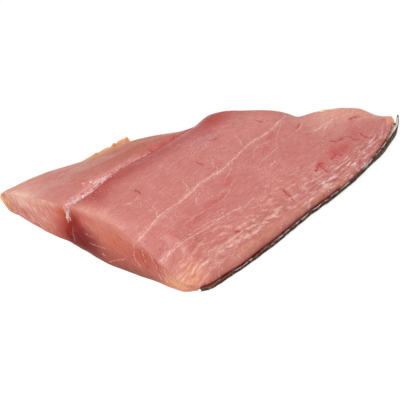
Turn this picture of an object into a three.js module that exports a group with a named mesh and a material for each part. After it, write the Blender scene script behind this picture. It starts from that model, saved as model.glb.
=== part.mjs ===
// Raw mahi-mahi fillet lying skin side down: a thick piece of flesh in one solid, and the
// skin under it in another.  Millimetres, +Z up.
//
// Fillet frame: x runs along the fish from the knife cut to the far tip, y runs across it from
// the dark back edge to the belly tip, and z = 0 is what the skin lies on.  Outlines and heights
// are stations given as shares of the driving dimensions, joined by smooth curves.
import * as THREE from "three";

// Driving dimensions.
const LENGTH = 262;
const WIDTH = 171;
const THICKNESS = 31;
const SKIN_THICKNESS = 1.2;
const GAP = 0.3; // between the skin and the flesh that rests on it
const RIM_GAP = 1.1; // between them where the skin turns up

// The skin stands out past the flesh along the back and the belly, and stops short of the knife
// cut, where the flesh sags over it.  It sticks out of the cut at the belly tip.
const BACK_LIP = 1.8;
const BELLY_LIP = 2.2;
const END_LIP = 0.4;
const CUT_INSET = 3.4;
const TIP_LIP = { out: 1.2, start: 0.84 * WIDTH, end: 0.94 * WIDTH };

// The flesh stands in from the far tip of the skin.
const FLESH_TIP = { inset: 3, start: 0.086 * WIDTH, reach: 16 };

// Its edges lift off the surface that it lies on.
const TIP_LIFT = { start: 0.78 * LENGTH, height: 2.4 };
const BELLY_LIFT = { reach: 26, height: 3.2 };

// A torn tongue of belly skin sticks up behind the flap, highest near its far end.
const TONGUE = { start: 0.252 * LENGTH, peak: 0.386 * LENGTH, end: 0.41 * LENGTH, reach: 4, height: 8 };

// The knife cut leans back from upright, and the flesh rounds down to it at the back.  The far
// edges are bevelled and their walls bulge.
const CUT_LEAN = THREE.MathUtils.degToRad(8);
const CUT_ROLL_REACH = 26;
const FAR_BEVEL = { width: 3, steepness: 0.6 };
const BACK_BULGE = 1;
const FAR_BULGE = 1.5;
const THINNEST = 1.5; // flesh at the far tip

// The loin's rounded shoulder above the back edge, its fall towards the seam, and its low spot
// at the far edge.
const SHOULDER_REACH = { near: 52, far: 60 };
const SEAM_SLOPE = { near: 48, far: 4 };
const FAR_DIP = { x: 0.755 * LENGTH, y: 0.36 * WIDTH, radius: 14, depth: 2.5 };
const SWELL = { height: 0.6, along: 19, across: 14 };

// The groove on the loin side of the seam, and the step up from it to the belly flap.
const GROOVE = { width: 13, depth: 2.8, depthAtCut: 1.2, start: 0.02 * LENGTH, end: 0.2 * LENGTH };
const SEAM_STEP = 1.6;

// Mesh counts: columns run along the fish, rows across it.
const FLESH_COLUMNS = 40;
const SKIN_COLUMNS = 22;
const LOIN_ROWS = 18; // back edge to the seam
const BELLY_ROWS = 9; // seam to the belly edge
const WALL_RINGS = 4; // up the sides of the flesh
const BACK_CROWDING = 1.5; // above 1 the rows crowd towards the back edge

const { clamp, lerp, smoothstep } = THREE.MathUtils;

// A smooth curve through [share of inputSize, share of outputSize] stations, which never
// overshoots them and stays level beyond its ends.
function curve(stations, inputSize, outputSize) {
  const xs = stations.map(([input]) => input * inputSize);
  const ys = stations.map(([, output]) => output * outputSize);
  const last = xs.length - 1;
  const slopes = xs.slice(1).map((x, i) => (ys[i + 1] - ys[i]) / (x - xs[i]));
  const tangents = xs.map((_, i) => {
    const before = slopes[Math.max(i - 1, 0)];
    const after = slopes[Math.min(i, last - 1)];
    return before * after <= 0 ? 0 : (2 * before * after) / (before + after);
  });
  return (input) => {
    const x = clamp(input, xs[0], xs[last]);
    let i = 0;
    while (i < last - 1 && x > xs[i + 1]) i += 1;
    const span = xs[i + 1] - xs[i];
    const t = (x - xs[i]) / span;
    const curving = span * t * (1 - t) * ((1 - t) * tangents[i] - t * tangents[i + 1]);
    return lerp(ys[i], ys[i + 1], t * t * (3 - 2 * t)) + curving;
  };
}

// 1 at distance 0, easing down to 0 at the reach.
const fade = (distance, reach) => clamp(1 - distance / reach, 0, 1) ** 2;

// The height of a quarter circle that turns up from level to upright at distance 0.
const quarterRound = (distance, radius) => {
  const inside = clamp(1 - distance / radius, 0, 1);
  return radius * (1 - Math.sqrt(1 - inside * inside));
};

// ---- outline -----------------------------------------------------------------------------

// The knife cut across the thick end: x for each y.
const knifeCut = curve(
  [
    [0.08, 0.087], [0.115, 0.063], [0.226, 0.047], [0.34, 0.03], [0.465, 0.018], [0.614, 0.018],
    [0.68, 0.011], [0.85, 0.001], [0.93, 0.004], [1, 0.013],
  ],
  WIDTH,
  LENGTH,
);

// The long edge at the fish's back: y for each x.
const backEdge = curve(
  [
    [0.087, 0.08], [0.115, 0.052], [0.16, 0.043], [0.256, 0.028], [0.36, 0.02], [0.48, 0.017],
    [0.6, 0.004], [0.67, 0], [0.815, 0.018], [0.913, 0.044], [0.955, 0.058], [0.995, 0.086],
  ],
  LENGTH,
  WIDTH,
);

// The trimmed far edge, from the far tip to the end of the belly flap: x for each y.
const farEdge = curve(
  [
    [0.086, 0.995], [0.146, 0.968], [0.2, 0.94], [0.248, 0.908], [0.335, 0.808], [0.361, 0.743],
    [0.4, 0.734], [0.522, 0.669], [0.634, 0.598], [0.687, 0.527],
  ],
  WIDTH,
  LENGTH,
);

// The outer edge of the belly flap, from the belly tip to the far edge: y for each x.
const bellyEdge = curve(
  [
    [0.015, 1], [0.095, 0.979], [0.145, 0.956], [0.24, 0.895], [0.385, 0.838], [0.467, 0.76],
    [0.527, 0.687],
  ],
  LENGTH,
  WIDTH,
);

// The dark seam between the loin and the belly flap: y for each x.
const seam = curve(
  [[0.02, 0.632], [0.1, 0.664], [0.175, 0.697], [0.3, 0.692], [0.51, 0.684]],
  LENGTH,
  WIDTH,
);
const SEAM_END = farEdge(0.684 * WIDTH);
const FLAP_END = 0.527 * LENGTH;

// 1 along the belly flap, easing to 0 where it runs out at the far edge.
const flapShare = (x) => 1 - smoothstep(x, 0.38 * LENGTH, 0.5 * LENGTH);

// ---- heights, z for each x ---------------------------------------------------------------

const crest = curve(
  [
    [0, 1], [0.38, 0.95], [0.6, 0.88], [0.74, 0.76], [0.82, 0.62], [0.885, 0.585], [0.915, 0.565],
    [0.95, 0.335], [0.98, 0.2],
  ],
  LENGTH,
  THICKNESS,
);
const backWall = curve([[0.08, 0.24], [0.25, 0.33], [0.6, 0.3], [1, 0.26]], LENGTH, THICKNESS);
const seamHeight = curve([[0, 0.85], [0.25, 0.73], [0.52, 0.53]], LENGTH, THICKNESS);
const flapEdgeHeight = curve([[0, 0.25], [0.5, 0.42]], LENGTH, THICKNESS);

// Radius of the quarter round in which the skin turns up along the back.
const rimRadius = curve(
  [[0.05, 0.02], [0.12, 0.08], [0.3, 0.11], [0.55, 0.15], [0.75, 0.2], [1, 0.22]],
  LENGTH,
  THICKNESS,
);

// How far the flesh stands in from the back edge, for each x.
const FLESH_INSET = 3;
const fleshInset = curve([[0.12, 0], [0.3, 0.5], [0.57, 0.5], [0.76, 0.4], [1, 0.7]], LENGTH, FLESH_INSET);

// How far the flesh has rounded down where it meets the knife cut, for each y.
const cutRoll = curve(
  [[0.07, 0.1], [0.13, 0.24], [0.18, 0.3], [0.217, 0.3], [0.258, 0.225], [0.324, 0.165], [0.42, 0]],
  WIDTH,
  THICKNESS,
);

// How far the skin stands in from the knife cut, and where the flesh ends at the far edge.
const skinInset = (y) => lerp(CUT_INSET, -TIP_LIP.out, smoothstep(y, TIP_LIP.start, TIP_LIP.end));
const fleshEnd = (y) => farEdge(y) - FLESH_TIP.inset * fade(y - FLESH_TIP.start, FLESH_TIP.reach);

// How the flap thins from the seam (0) to its edge (1).
const flapProfile = curve([[0, 1], [0.3, 0.87], [0.6, 0.54], [0.9, 0.25], [1, 0.1]], 1, 1);

// Height of the skin's underside.
function lift(x, y) {
  const back = quarterRound(y - backEdge(x) + BACK_LIP, rimRadius(x));
  const tip = TIP_LIFT.height * fade(LENGTH - x, LENGTH - TIP_LIFT.start);
  const belly = BELLY_LIFT.height * flapShare(x) * fade(bellyEdge(x) - y, BELLY_LIFT.reach);
  return back + tip + belly;
}

// Height of the flesh on the loin side of the seam.
function loinTop(x, y) {
  const along = clamp(x / LENGTH, 0, 1);
  const shoulder = lerp(SHOULDER_REACH.near, SHOULDER_REACH.far, along);
  const rise = 1 - fade(y - backEdge(x), shoulder);
  const slope = lerp(SEAM_SLOPE.near, SEAM_SLOPE.far, along);
  const fall = fade(seam(x) - y, slope) * (crest(x) - seamHeight(x));
  const intoFlesh = smoothstep(x, GROOVE.start, GROOVE.end);
  const groove = lerp(GROOVE.depthAtCut, GROOVE.depth, intoFlesh) * fade(seam(x) - y, GROOVE.width);
  const fromDip = Math.hypot(x - FAR_DIP.x, y - FAR_DIP.y) / FAR_DIP.radius;
  const dip = FAR_DIP.depth * Math.exp(-fromDip * fromDip);
  const swell = SWELL.height * Math.sin(x / SWELL.along) * Math.sin(y / SWELL.across) * rise;
  const roll = cutRoll(y) * fade(x - knifeCut(y), CUT_ROLL_REACH);
  return lerp(backWall(x), crest(x), rise) - fall - groove - dip - roll + swell;
}

// Height of the flesh on the belly side of the seam.
function flapTop(x, y) {
  const across = (y - seam(x)) / Math.max(bellyEdge(x) - seam(x), 1);
  return lerp(flapEdgeHeight(x), seamHeight(x), flapProfile(across));
}

// The flesh clears the skin sideways too, where the skin turns up.
const fleshUnderside = (x, y) => lift(x, y - RIM_GAP) + SKIN_THICKNESS + GAP;

function fleshTop(x, y) {
  const onLoin = y < seam(x) - SEAM_STEP / 2;
  const top = onLoin ? loinTop(x, y) : flapTop(x, y);
  // The far edge lies aslant to x and the belly edge aslant to y, hence the two slopes.
  const toEdge = onLoin ? 0.6 * (fleshEnd(y) - x) : 0.9 * (bellyEdge(x) - y);
  const bevel = quarterRound(toEdge, FAR_BEVEL.width) * FAR_BEVEL.steepness;
  return Math.max(top - bevel, fleshUnderside(x, y) + THINNEST);
}

// ---- meshes ------------------------------------------------------------------------------

// A row of plan points on the line y = rowY(x), from x = startX(y) to x = endX(y).
function planRow(rowY, startX, endX, shares) {
  return shares.map((share) => {
    let x = LENGTH * share;
    let y = rowY(x);
    for (let pass = 0; pass < 6; pass += 1) {
      x = lerp(startX(y), endX(y), share);
      y = rowY(x);
    }
    return { x, y, share };
  });
}

// Plan points in rows from y = backY(x), over the seam, to the belly edge.  A narrow column lies
// along each end.
function planGrid(columns, backY, startX, endX) {
  const shares = Array.from({ length: columns + 1 }, (_, column) => column / columns);
  shares.splice(1, 0, 0.3 / columns);
  shares.splice(-1, 0, 1 - 0.4 / columns);
  const rows = [];
  for (let row = 0; row < LOIN_ROWS; row += 1) {
    const t = (row / (LOIN_ROWS - 1)) ** BACK_CROWDING;
    const rowY = (x) => lerp(backY(x), seam(x) - SEAM_STEP, t);
    rows.push(planRow(rowY, startX, endX, shares));
  }
  for (let row = 0; row < BELLY_ROWS; row += 1) {
    const t = row / (BELLY_ROWS - 1);
    const rowY = (x) => lerp(seam(x), bellyEdge(x), t);
    rows.push(planRow(rowY, startX, () => lerp(SEAM_END, FLAP_END, t), shares));
  }
  return rows;
}

// The grid's border as [row, column] pairs, anticlockwise seen from above.
function border(rowCount, columnCount) {
  const pairs = [];
  for (let column = 0; column < columnCount - 1; column += 1) pairs.push([0, column]);
  for (let row = 0; row < rowCount - 1; row += 1) pairs.push([row, columnCount - 1]);
  for (let column = columnCount - 1; column > 0; column -= 1) pairs.push([rowCount - 1, column]);
  for (let row = rowCount - 1; row > 0; row -= 1) pairs.push([row, 0]);
  return pairs;
}

// A closed body between an upper and a lower grid of points.  Its side wall is made in rings,
// which stand out by bulge(row, column) at mid height.
function closedBody(upper, lower, rings, bulge) {
  const rowCount = upper.length;
  const columnCount = upper[0].length;
  const points = [...upper.flat(), ...lower.flat()];
  const triangles = [];
  const quad = (a, b, c, d) => triangles.push(a, b, c, a, c, d);
  const upperAt = (row, column) => row * columnCount + column;
  const lowerAt = (row, column) => rowCount * columnCount + upperAt(row, column);
  for (let row = 0; row < rowCount - 1; row += 1) {
    for (let column = 0; column < columnCount - 1; column += 1) {
      const corners = [[row, column], [row, column + 1], [row + 1, column + 1], [row + 1, column]];
      quad(...corners.map(([r, c]) => upperAt(r, c)));
      quad(...corners.reverse().map(([r, c]) => lowerAt(r, c)));
    }
  }
  const edge = border(rowCount, columnCount);
  const edgePoint = (i) => {
    const [row, column] = edge[(i + edge.length) % edge.length];
    return lower[row][column];
  };
  const ringStarts = [];
  for (let ring = 1; ring < rings; ring += 1) {
    const t = ring / rings;
    ringStarts.push(points.length);
    edge.forEach(([row, column], i) => {
      const along = edgePoint(i + 1).clone().sub(edgePoint(i - 1));
      const outward = new THREE.Vector3(along.y, -along.x, 0).normalize();
      const point = lower[row][column].clone().lerp(upper[row][column], t);
      points.push(point.addScaledVector(outward, bulge(row, column) * Math.sin(Math.PI * t)));
    });
  }
  const ringAt = (ring, i) => {
    if (ring === 0) return lowerAt(...edge[i]);
    if (ring === rings) return upperAt(...edge[i]);
    return ringStarts[ring - 1] + i;
  };
  for (let ring = 0; ring < rings; ring += 1) {
    edge.forEach((_, i) => {
      const next = (i + 1) % edge.length;
      quad(ringAt(ring, i), ringAt(ring, next), ringAt(ring + 1, next), ringAt(ring + 1, i));
    });
  }
  const geometry = new THREE.BufferGeometry();
  geometry.setFromPoints(points);
  geometry.setIndex(triangles);
  geometry.computeVertexNormals();
  return geometry;
}

// ---- flesh -------------------------------------------------------------------------------

// It rests on the skin, and comes down to the surface below along the knife cut, except where the
// skin sticks out of the cut.
function makeFlesh() {
  const plan = planGrid(FLESH_COLUMNS, (x) => backEdge(x) + fleshInset(x), knifeCut, fleshEnd);
  const upper = plan.map((row) => row.map(({ x, y, share }) => {
    const z = fleshTop(x, y);
    const leanBack = Math.tan(CUT_LEAN) * z * clamp(1 - share / 0.1, 0, 1);
    return new THREE.Vector3(x + leanBack, y, z);
  }));
  const lower = plan.map((row) => row.map(({ x, y }, column) => {
    const comesDown = column === 0 && y < TIP_LIP.start;
    const z = comesDown ? lift(x, y) : fleshUnderside(x, y);
    return new THREE.Vector3(x, y, z);
  }));
  const bulge = (row, column) => {
    if (column === 0) return 0;
    return row === 0 ? BACK_BULGE : FAR_BULGE;
  };
  return closedBody(upper, lower, WALL_RINGS, bulge);
}

// ---- skin --------------------------------------------------------------------------------

const BELLY_OUTWARD = new THREE.Vector3(0.39, 0.92, 0);

// Two rows past the flap's edge: a narrow lip, and the tongue that stands up from it.
function lipRows(lastRow) {
  const lip = lastRow.map((point) => {
    const width = lerp(END_LIP, BELLY_LIP, flapShare(point.x));
    return point.clone().addScaledVector(BELLY_OUTWARD, width);
  });
  const end = lip.map((point) => {
    const rising = (point.x - TONGUE.start) / (TONGUE.peak - TONGUE.start);
    const falling = (TONGUE.end - point.x) / (TONGUE.end - TONGUE.peak);
    const rise = clamp(Math.min(rising, falling), 0, 1);
    const tip = point.clone().addScaledVector(BELLY_OUTWARD, END_LIP + TONGUE.reach * rise);
    return tip.setZ(point.z + TONGUE.height * rise);
  });
  return [lip, end];
}

function makeSkin() {
  const startX = (y) => knifeCut(y) + skinInset(y);
  const plan = planGrid(SKIN_COLUMNS, (x) => backEdge(x) - BACK_LIP, startX, farEdge);
  const lower = plan.map((row) => row.map(({ x, y }) => new THREE.Vector3(x, y, lift(x, y))));
  lower.push(...lipRows(lower.at(-1)));
  const upper = lower.map((row) => row.map((point) => point.clone().setZ(point.z + SKIN_THICKNESS)));
  return closedBody(upper, lower, 1, () => 0);
}

// ---- assembly ----------------------------------------------------------------------------

const fillet = new THREE.Group();

function addPart(name, geometry, color, roughness) {
  const material = new THREE.MeshStandardMaterial({ color, roughness, metalness: 0 });
  const mesh = new THREE.Mesh(geometry, material);
  mesh.name = name;
  fillet.add(mesh);
}

addPart("flesh", makeFlesh(), 0xcd8278, 0.35);
addPart("skin", makeSkin(), 0x3c3a30, 0.3);

// The origin is under the middle of the fillet, on the surface that it lies on.
const box = new THREE.Box3().setFromObject(fillet);
const centre = box.getCenter(new THREE.Vector3());
fillet.position.set(-centre.x, -centre.y, -box.min.z);
fillet.updateMatrixWorld(true);

export default fillet;
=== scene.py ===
"""Raw mahi-mahi fillet lying skin side down.

Shapes are worked out in millimetres in the fillet frame of the CAD model: x along the fish from
the knife cut to the far tip, y across it from the dark back edge to the belly tip, z up from what
the skin lies on.  build_mesh() turns them into metres in the shared frame.
"""
import math
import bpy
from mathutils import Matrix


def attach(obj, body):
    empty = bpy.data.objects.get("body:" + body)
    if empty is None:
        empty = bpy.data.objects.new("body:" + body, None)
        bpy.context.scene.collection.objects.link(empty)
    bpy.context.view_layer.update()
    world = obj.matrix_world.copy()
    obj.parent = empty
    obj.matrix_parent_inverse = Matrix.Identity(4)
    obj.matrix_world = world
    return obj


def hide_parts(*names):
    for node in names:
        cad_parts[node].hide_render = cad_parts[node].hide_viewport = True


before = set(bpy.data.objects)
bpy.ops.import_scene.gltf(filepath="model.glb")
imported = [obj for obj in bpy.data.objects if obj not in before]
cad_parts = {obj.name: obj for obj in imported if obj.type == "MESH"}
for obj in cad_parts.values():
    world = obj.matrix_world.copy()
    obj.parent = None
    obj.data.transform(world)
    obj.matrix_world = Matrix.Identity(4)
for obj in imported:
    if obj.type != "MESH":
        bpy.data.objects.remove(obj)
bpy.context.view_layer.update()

from types import SimpleNamespace

import bmesh
import bpy
import numpy as np
from mathutils import Vector

# ---- driving dimensions in millimetres ---------------------------------------------------

LENGTH = 262
WIDTH = 171
THICKNESS = 31
SKIN_THICKNESS = 1.2
GAP = 0.3  # between the skin and the flesh that rests on it
RIM_GAP = 1  # between them where the skin turns up
MIDDLE = (130.49, 85.8)  # the shared frame's origin in the fillet frame

# The skin stands out past the flesh along the belly, and a little at the ends of that edge.
BELLY_LIP = 2.2
END_LIP = 0.4
# It stops short of the knife cut, where the flesh sags over it, and sticks out of it at the belly
# tip.  At the back corner a small torn flap of it reaches nearer to the cut.
CUT_INSET = 3.4
TIP_LIP = {"out": 1.2, "start": 0.84 * WIDTH, "end": 0.94 * WIDTH}
CORNER_FLAP = {"y": 10.4, "reach": 8, "length": 3.8}
# Both layers stand in from the far tip of the outline.
FAR_TIP_Y = 0.086 * WIDTH
FLESH_TIP = {"inset": 8.5, "reach": 10}
SKIN_TIP = {"inset": 3, "reach": 12}
# Edges lift off what the fillet lies on: at the far tip, along the belly and at the belly tip.
TIP_LIFT = {"start": 0.78 * LENGTH, "height": 1.4}
BELLY_LIFT = {"reach": 26, "height": 3.2}
CURL = {"x": 0.015 * LENGTH, "reach": 14, "height": 1.7}
# The power of the skin's upturn along the back, and where along the fish it grows.
RIM_POWER = {"near": 3, "far": 10, "start": 195, "end": 225}

# The knife cut leans back from upright, and the flesh rounds down to it at the back.  The far
# edges are bevelled, and the walls bulge.
CUT_LEAN = math.radians(8)
CUT_ROLL_REACH = 26
FAR_BEVEL = {"width": 3, "steepness": 0.6}
BACK_BULGE = 0.8
FAR_BULGE = 1.5
# The crease down the cut face.
NOTCH = {"depth": 1, "half_width": 2.2}
# The loin's rounded shoulder above the back edge, its fall towards the seam, and its low spot at
# the far edge; near is at the knife cut.
SHOULDER_REACH = {"near": 52, "far": 60}
SEAM_SLOPE = {"near": 48, "far": 4}
FAR_DIP = {"x": 0.755 * LENGTH, "y": 0.36 * WIDTH, "radius": 14, "depth": 2.5}
SWELL = {"height": 0.6, "along": 19, "across": 14}
# The groove on the loin side of the seam, and the step up from it to the belly flap.
GROOVE = {"width": 13, "depth": 2.8, "at_cut": 1.2, "start": 0.02 * LENGTH, "end": 0.2 * LENGTH}
SEAM_STEP = 1.6
# A low slab of fat at the far tip: where it rises along the fish, at its back and at its front.
FAT_SLAB = {"height": 3.3, "along": (242, 251), "back": (13.5, 17), "front": (14, 26)}
# Sinewy ridges along the back towards the far tip.
RIDGES = {"height": 0.8, "spacing": 4.2}
# Low swellings and hollows at the far edge: x, y, reach, height.
SWELLINGS = [(148, 111, 8, 2), (167, 98, 11, -1.7)]


def curve(stations, input_size, output_size):
    """A smooth curve through [share, share] stations, which never overshoots them."""
    xs, ys = (np.array(stations, float) * (input_size, output_size)).T
    slopes = np.diff(ys) / np.diff(xs)
    before = np.concatenate([slopes[:1], slopes])
    after = np.concatenate([slopes, slopes[-1:]])
    same_way = before * after > 0
    total = np.where(same_way, before + after, 1)
    tangents = np.where(same_way, 2 * before * after / total, 0)

    def at(value):
        x = np.clip(value, xs[0], xs[-1])
        i = np.clip(np.searchsorted(xs, x) - 1, 0, len(slopes) - 1)
        span = xs[i + 1] - xs[i]
        t = (x - xs[i]) / span
        curving = span * t * (1 - t) * ((1 - t) * tangents[i] - t * tangents[i + 1])
        return ys[i] + (ys[i + 1] - ys[i]) * t * t * (3 - 2 * t) + curving

    return at


def fade(distance, reach):
    """1 at distance 0, easing down to 0 at the reach."""
    return np.clip(1 - distance / reach, 0, 1) ** 2


def smoothstep(value, low, high):
    t = np.clip((value - low) / (high - low), 0, 1)
    return t * t * (3 - 2 * t)


def mix(a, b, share):
    return a + (b - a) * share


def band(value, low, high, soft):
    """1 between low and high, easing to 0 over the soft distance outside them."""
    return smoothstep(value, low - soft, low) * (1 - smoothstep(value, high, high + soft))


def turned(x, y, degrees):
    """The same place measured along and across a direction at this angle to x."""
    angle = math.radians(degrees)
    return x * math.cos(angle) + y * math.sin(angle), y * math.cos(angle) - x * math.sin(angle)


LATTICE = 256  # random numbers along each side of the square that lumps() repeats


def lumps(x, y, size_x, size_y, seed):
    """Smooth random heights from -1 to 1, in lumps about size_x by size_y."""
    lattice = np.random.default_rng(seed).uniform(-1, 1, (LATTICE, LATTICE))
    u, v = x / size_x, y / size_y
    i, j = np.floor(u).astype(int), np.floor(v).astype(int)
    s, t = smoothstep(u - i, 0, 1), smoothstep(v - j, 0, 1)
    a, b, c, d = (
        lattice[(i + right) % LATTICE, (j + up) % LATTICE] for up in (0, 1) for right in (0, 1)
    )
    return mix(mix(a, b, s), mix(c, d, s), t)


# ---- outline -----------------------------------------------------------------------------

# The knife cut: x for each y.
knife_cut = curve(
    [
        (0.08, 0.087), (0.115, 0.063), (0.226, 0.047), (0.34, 0.03), (0.465, 0.018),
        (0.614, 0.018), (0.68, 0.011), (0.85, 0.001), (0.93, 0.004), (1, 0.013),
    ],
    WIDTH, LENGTH,
)
# The back edge: y for each x.
back_edge = curve(
    [
        (0.087, 0.08), (0.115, 0.052), (0.16, 0.043), (0.256, 0.028), (0.36, 0.02),
        (0.48, 0.017), (0.6, 0.004), (0.67, 0), (0.815, 0.018), (0.913, 0.044), (0.955, 0.058),
        (0.995, 0.086),
    ],
    LENGTH, WIDTH,
)
# The far edge: x for each y.
far_edge = curve(
    [
        (0.086, 0.995), (0.146, 0.968), (0.2, 0.94), (0.248, 0.908), (0.335, 0.808),
        (0.361, 0.743), (0.4, 0.734), (0.522, 0.669), (0.634, 0.598), (0.687, 0.527),
    ],
    WIDTH, LENGTH,
)
# The belly edge: y for each x.
belly_edge = curve(
    [
        (0.015, 1), (0.095, 0.979), (0.145, 0.956), (0.24, 0.895), (0.385, 0.838),
        (0.467, 0.76), (0.527, 0.687),
    ],
    LENGTH, WIDTH,
)
# The seam between the loin and the belly flap: y for each x.
seam = curve(
    [(0.02, 0.642), (0.1, 0.664), (0.175, 0.697), (0.3, 0.692), (0.51, 0.684)], LENGTH, WIDTH,
)
SEAM_END = far_edge(0.684 * WIDTH)
FLAP_END = 0.527 * LENGTH


def flap_share(x):
    """1 along the belly flap, easing to 0 where it runs out."""
    return 1 - smoothstep(x, 0.38 * LENGTH, 0.5 * LENGTH)


# ---- heights, z for each x ---------------------------------------------------------------

crest = curve(
    [
        (0, 1), (0.38, 0.95), (0.6, 0.88), (0.74, 0.76), (0.82, 0.62), (0.885, 0.585),
        (0.915, 0.565), (0.95, 0.335), (0.98, 0.2),
    ],
    LENGTH, THICKNESS,
)
back_wall = curve([(0.08, 0.24), (0.25, 0.33), (0.6, 0.3), (1, 0.26)], LENGTH, THICKNESS)
seam_height = curve([(0, 0.85), (0.25, 0.73), (0.52, 0.53)], LENGTH, THICKNESS)
flap_edge_height = curve([(0, 0.25), (0.5, 0.42)], LENGTH, THICKNESS)
flap_profile = curve([(0, 1), (0.3, 0.87), (0.6, 0.54), (0.9, 0.25), (1, 0.1)], 1, 1)

# The radius in which the skin turns up along the back.
rim_radius = curve(
    [
        (0.05, 0.02), (0.12, 0.08), (0.3, 0.11), (0.55, 0.15), (0.75, 0.2), (0.84, 0.245),
        (0.9, 0.28), (1, 0.28),
    ],
    LENGTH, THICKNESS,
)
# How far the flesh stands in from the back edge, for each x.
flesh_inset = curve(
    [
        (0.088, 0), (0.105, 1.5), (0.14, 1.5), (0.2, 0.75), (0.3, 1.5), (0.57, 1.5), (0.76, 1.2),
        (0.89, 1.65), (0.92, 2.7), (0.95, 4.05), (1, 4.8),
    ],
    LENGTH, 1,
)

# How far the flesh has rounded down where it meets the knife cut, for each y.
cut_roll = curve(
    [
        (0.07, 0.1), (0.13, 0.24), (0.18, 0.3), (0.217, 0.3), (0.258, 0.225), (0.324, 0.165),
        (0.42, 0),
    ],
    WIDTH, THICKNESS,
)

# How far the skin stands out from the flesh along the back: it is torn loose at both ends.
back_lip = curve(
    [
        (0.07, 3), (0.13, 1.8), (0.58, 1.8), (0.63, 1.1), (0.77, 1.1), (0.83, 1.6), (0.92, 1.8),
        (0.945, 1.3), (0.965, 0), (1, -1),
    ],
    LENGTH, 1,
)


def back_line(x):
    """The skin's own back edge."""
    return back_edge(x) - back_lip(x)


def skin_inset(y):
    """How far the skin stands in from the knife cut."""
    inset = mix(CUT_INSET, -TIP_LIP["out"], smoothstep(y, TIP_LIP["start"], TIP_LIP["end"]))
    return inset - CORNER_FLAP["length"] * fade(y - CORNER_FLAP["y"], CORNER_FLAP["reach"])


def flesh_end(y):
    """Where the flesh ends at the far edge."""
    return far_edge(y) - FLESH_TIP["inset"] * fade(y - FAR_TIP_Y, FLESH_TIP["reach"])


def skin_end(y):
    """Where the skin ends at the far edge."""
    return far_edge(y) - SKIN_TIP["inset"] * fade(y - FAR_TIP_Y, SKIN_TIP["reach"])


def quarter_round(distance, radius):
    """How far a rounded edge has dropped, by the distance from it."""
    inside = np.clip(1 - distance / radius, 0, 1)
    return radius * (1 - np.sqrt(1 - inside**2))


def upturn(distance, radius, power):
    """A quarter round that stands more upright the higher its power."""
    inside = np.clip(1 - distance / radius, 0, 1)
    return radius * (1 - (1 - inside**power) ** (1 / power))


def lift(x, y):
    """Height of the skin's underside."""
    upright = smoothstep(x, RIM_POWER["start"], RIM_POWER["end"])
    power = mix(RIM_POWER["near"], RIM_POWER["far"], upright)
    back = upturn(y - back_line(x), rim_radius(x), power)
    tip = TIP_LIFT["height"] * fade(LENGTH - x, LENGTH - TIP_LIFT["start"])
    belly = BELLY_LIFT["height"] * flap_share(x) * fade(belly_edge(x) - y, BELLY_LIFT["reach"])
    curl = CURL["height"] * fade(np.hypot(x - CURL["x"], y - WIDTH), CURL["reach"])
    return back + tip + belly + curl


def loin_top(x, y):
    """Height of the flesh on the loin side of the seam."""
    along = x / LENGTH
    shoulder = mix(SHOULDER_REACH["near"], SHOULDER_REACH["far"], along)
    rise = 1 - fade(y - back_edge(x), shoulder)
    slope = mix(SEAM_SLOPE["near"], SEAM_SLOPE["far"], along)
    fall = fade(seam(x) - y, slope) * (crest(x) - seam_height(x))
    into_flesh = smoothstep(x, GROOVE["start"], GROOVE["end"])
    depth = mix(GROOVE["at_cut"], GROOVE["depth"], into_flesh)
    groove = depth * fade(seam(x) - y, GROOVE["width"])
    from_dip = np.hypot(x - FAR_DIP["x"], y - FAR_DIP["y"]) / FAR_DIP["radius"]
    dip = FAR_DIP["depth"] * np.exp(-(from_dip**2))
    swell = SWELL["height"] * np.sin(x / SWELL["along"]) * np.sin(y / SWELL["across"]) * rise
    roll = cut_roll(y) * fade(x - knife_cut(y), CUT_ROLL_REACH)
    return mix(back_wall(x), crest(x), rise) - fall - groove - dip - roll + swell


def flap_top(x, y):
    """Height of the flesh on the belly side of the seam."""
    across = (y - seam(x)) / np.maximum(belly_edge(x) - seam(x), 1)
    return mix(flap_edge_height(x), seam_height(x), flap_profile(across))


def relief(x, y):
    """Fine unevenness of the loin: crinkled membrane near the back, ridges towards the far tip."""
    inward = y - back_edge(x)
    along, across = turned(x, y, -14)
    crinkled = band(inward, 8, 15, 6) * band(x, 30, 130, 25)
    crinkles = (0.45 * lumps(along, across, 8, 2, 21) + 0.35 * lumps(x, y, 9, 4, 22)) * crinkled
    phase = inward + 1.5 * lumps(x, y, 14, 8, 23)
    ridged = band(inward, 2, 10, 4) * band(x, 165, 225, 30) * (0.5 + 0.5 * lumps(x, y, 18, 5, 26))
    ridges = RIDGES["height"] * np.sin(phase * 2 * math.pi / RIDGES["spacing"]) * ridged
    uneven = 0.3 * lumps(x, y, 17, 11, 24) + 0.12 * lumps(x, y, 6, 4, 25)
    total = crinkles + ridges + uneven * smoothstep(inward, 0, 8)
    for centre_x, centre_y, reach, height in SWELLINGS:
        total = total + height * np.exp(-((np.hypot(x - centre_x, y - centre_y) / reach) ** 2))
    return total


def flesh_top(x, y):
    """Height of the flesh, with its ragged seam, the slab of fat and rounded far edges."""
    ragged = 0.5 * lumps(x, y, 5, 9, 11) + 0.3 * lumps(x, y, 2, 4, 12)
    on_flap = smoothstep(y + ragged, seam(x) - SEAM_STEP, seam(x))
    top = mix(loin_top(x, y), flap_top(x, np.maximum(y, seam(x))), on_flap) + relief(x, y)
    slab = smoothstep(x, *FAT_SLAB["along"]) * smoothstep(y, *FAT_SLAB["back"])
    slab = slab * (1 - smoothstep(y, *FAT_SLAB["front"]))
    # The far edge lies aslant to x and the belly edge aslant to y, hence the two slopes.
    to_edge = mix(0.6 * (flesh_end(y) - x), 0.9 * (belly_edge(x) - y), on_flap)
    bevel = quarter_round(np.maximum(to_edge, 0), FAR_BEVEL["width"]) * FAR_BEVEL["steepness"]
    return top + FAT_SLAB["height"] * slab - bevel


# ---- plan grid ---------------------------------------------------------------------------

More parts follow.
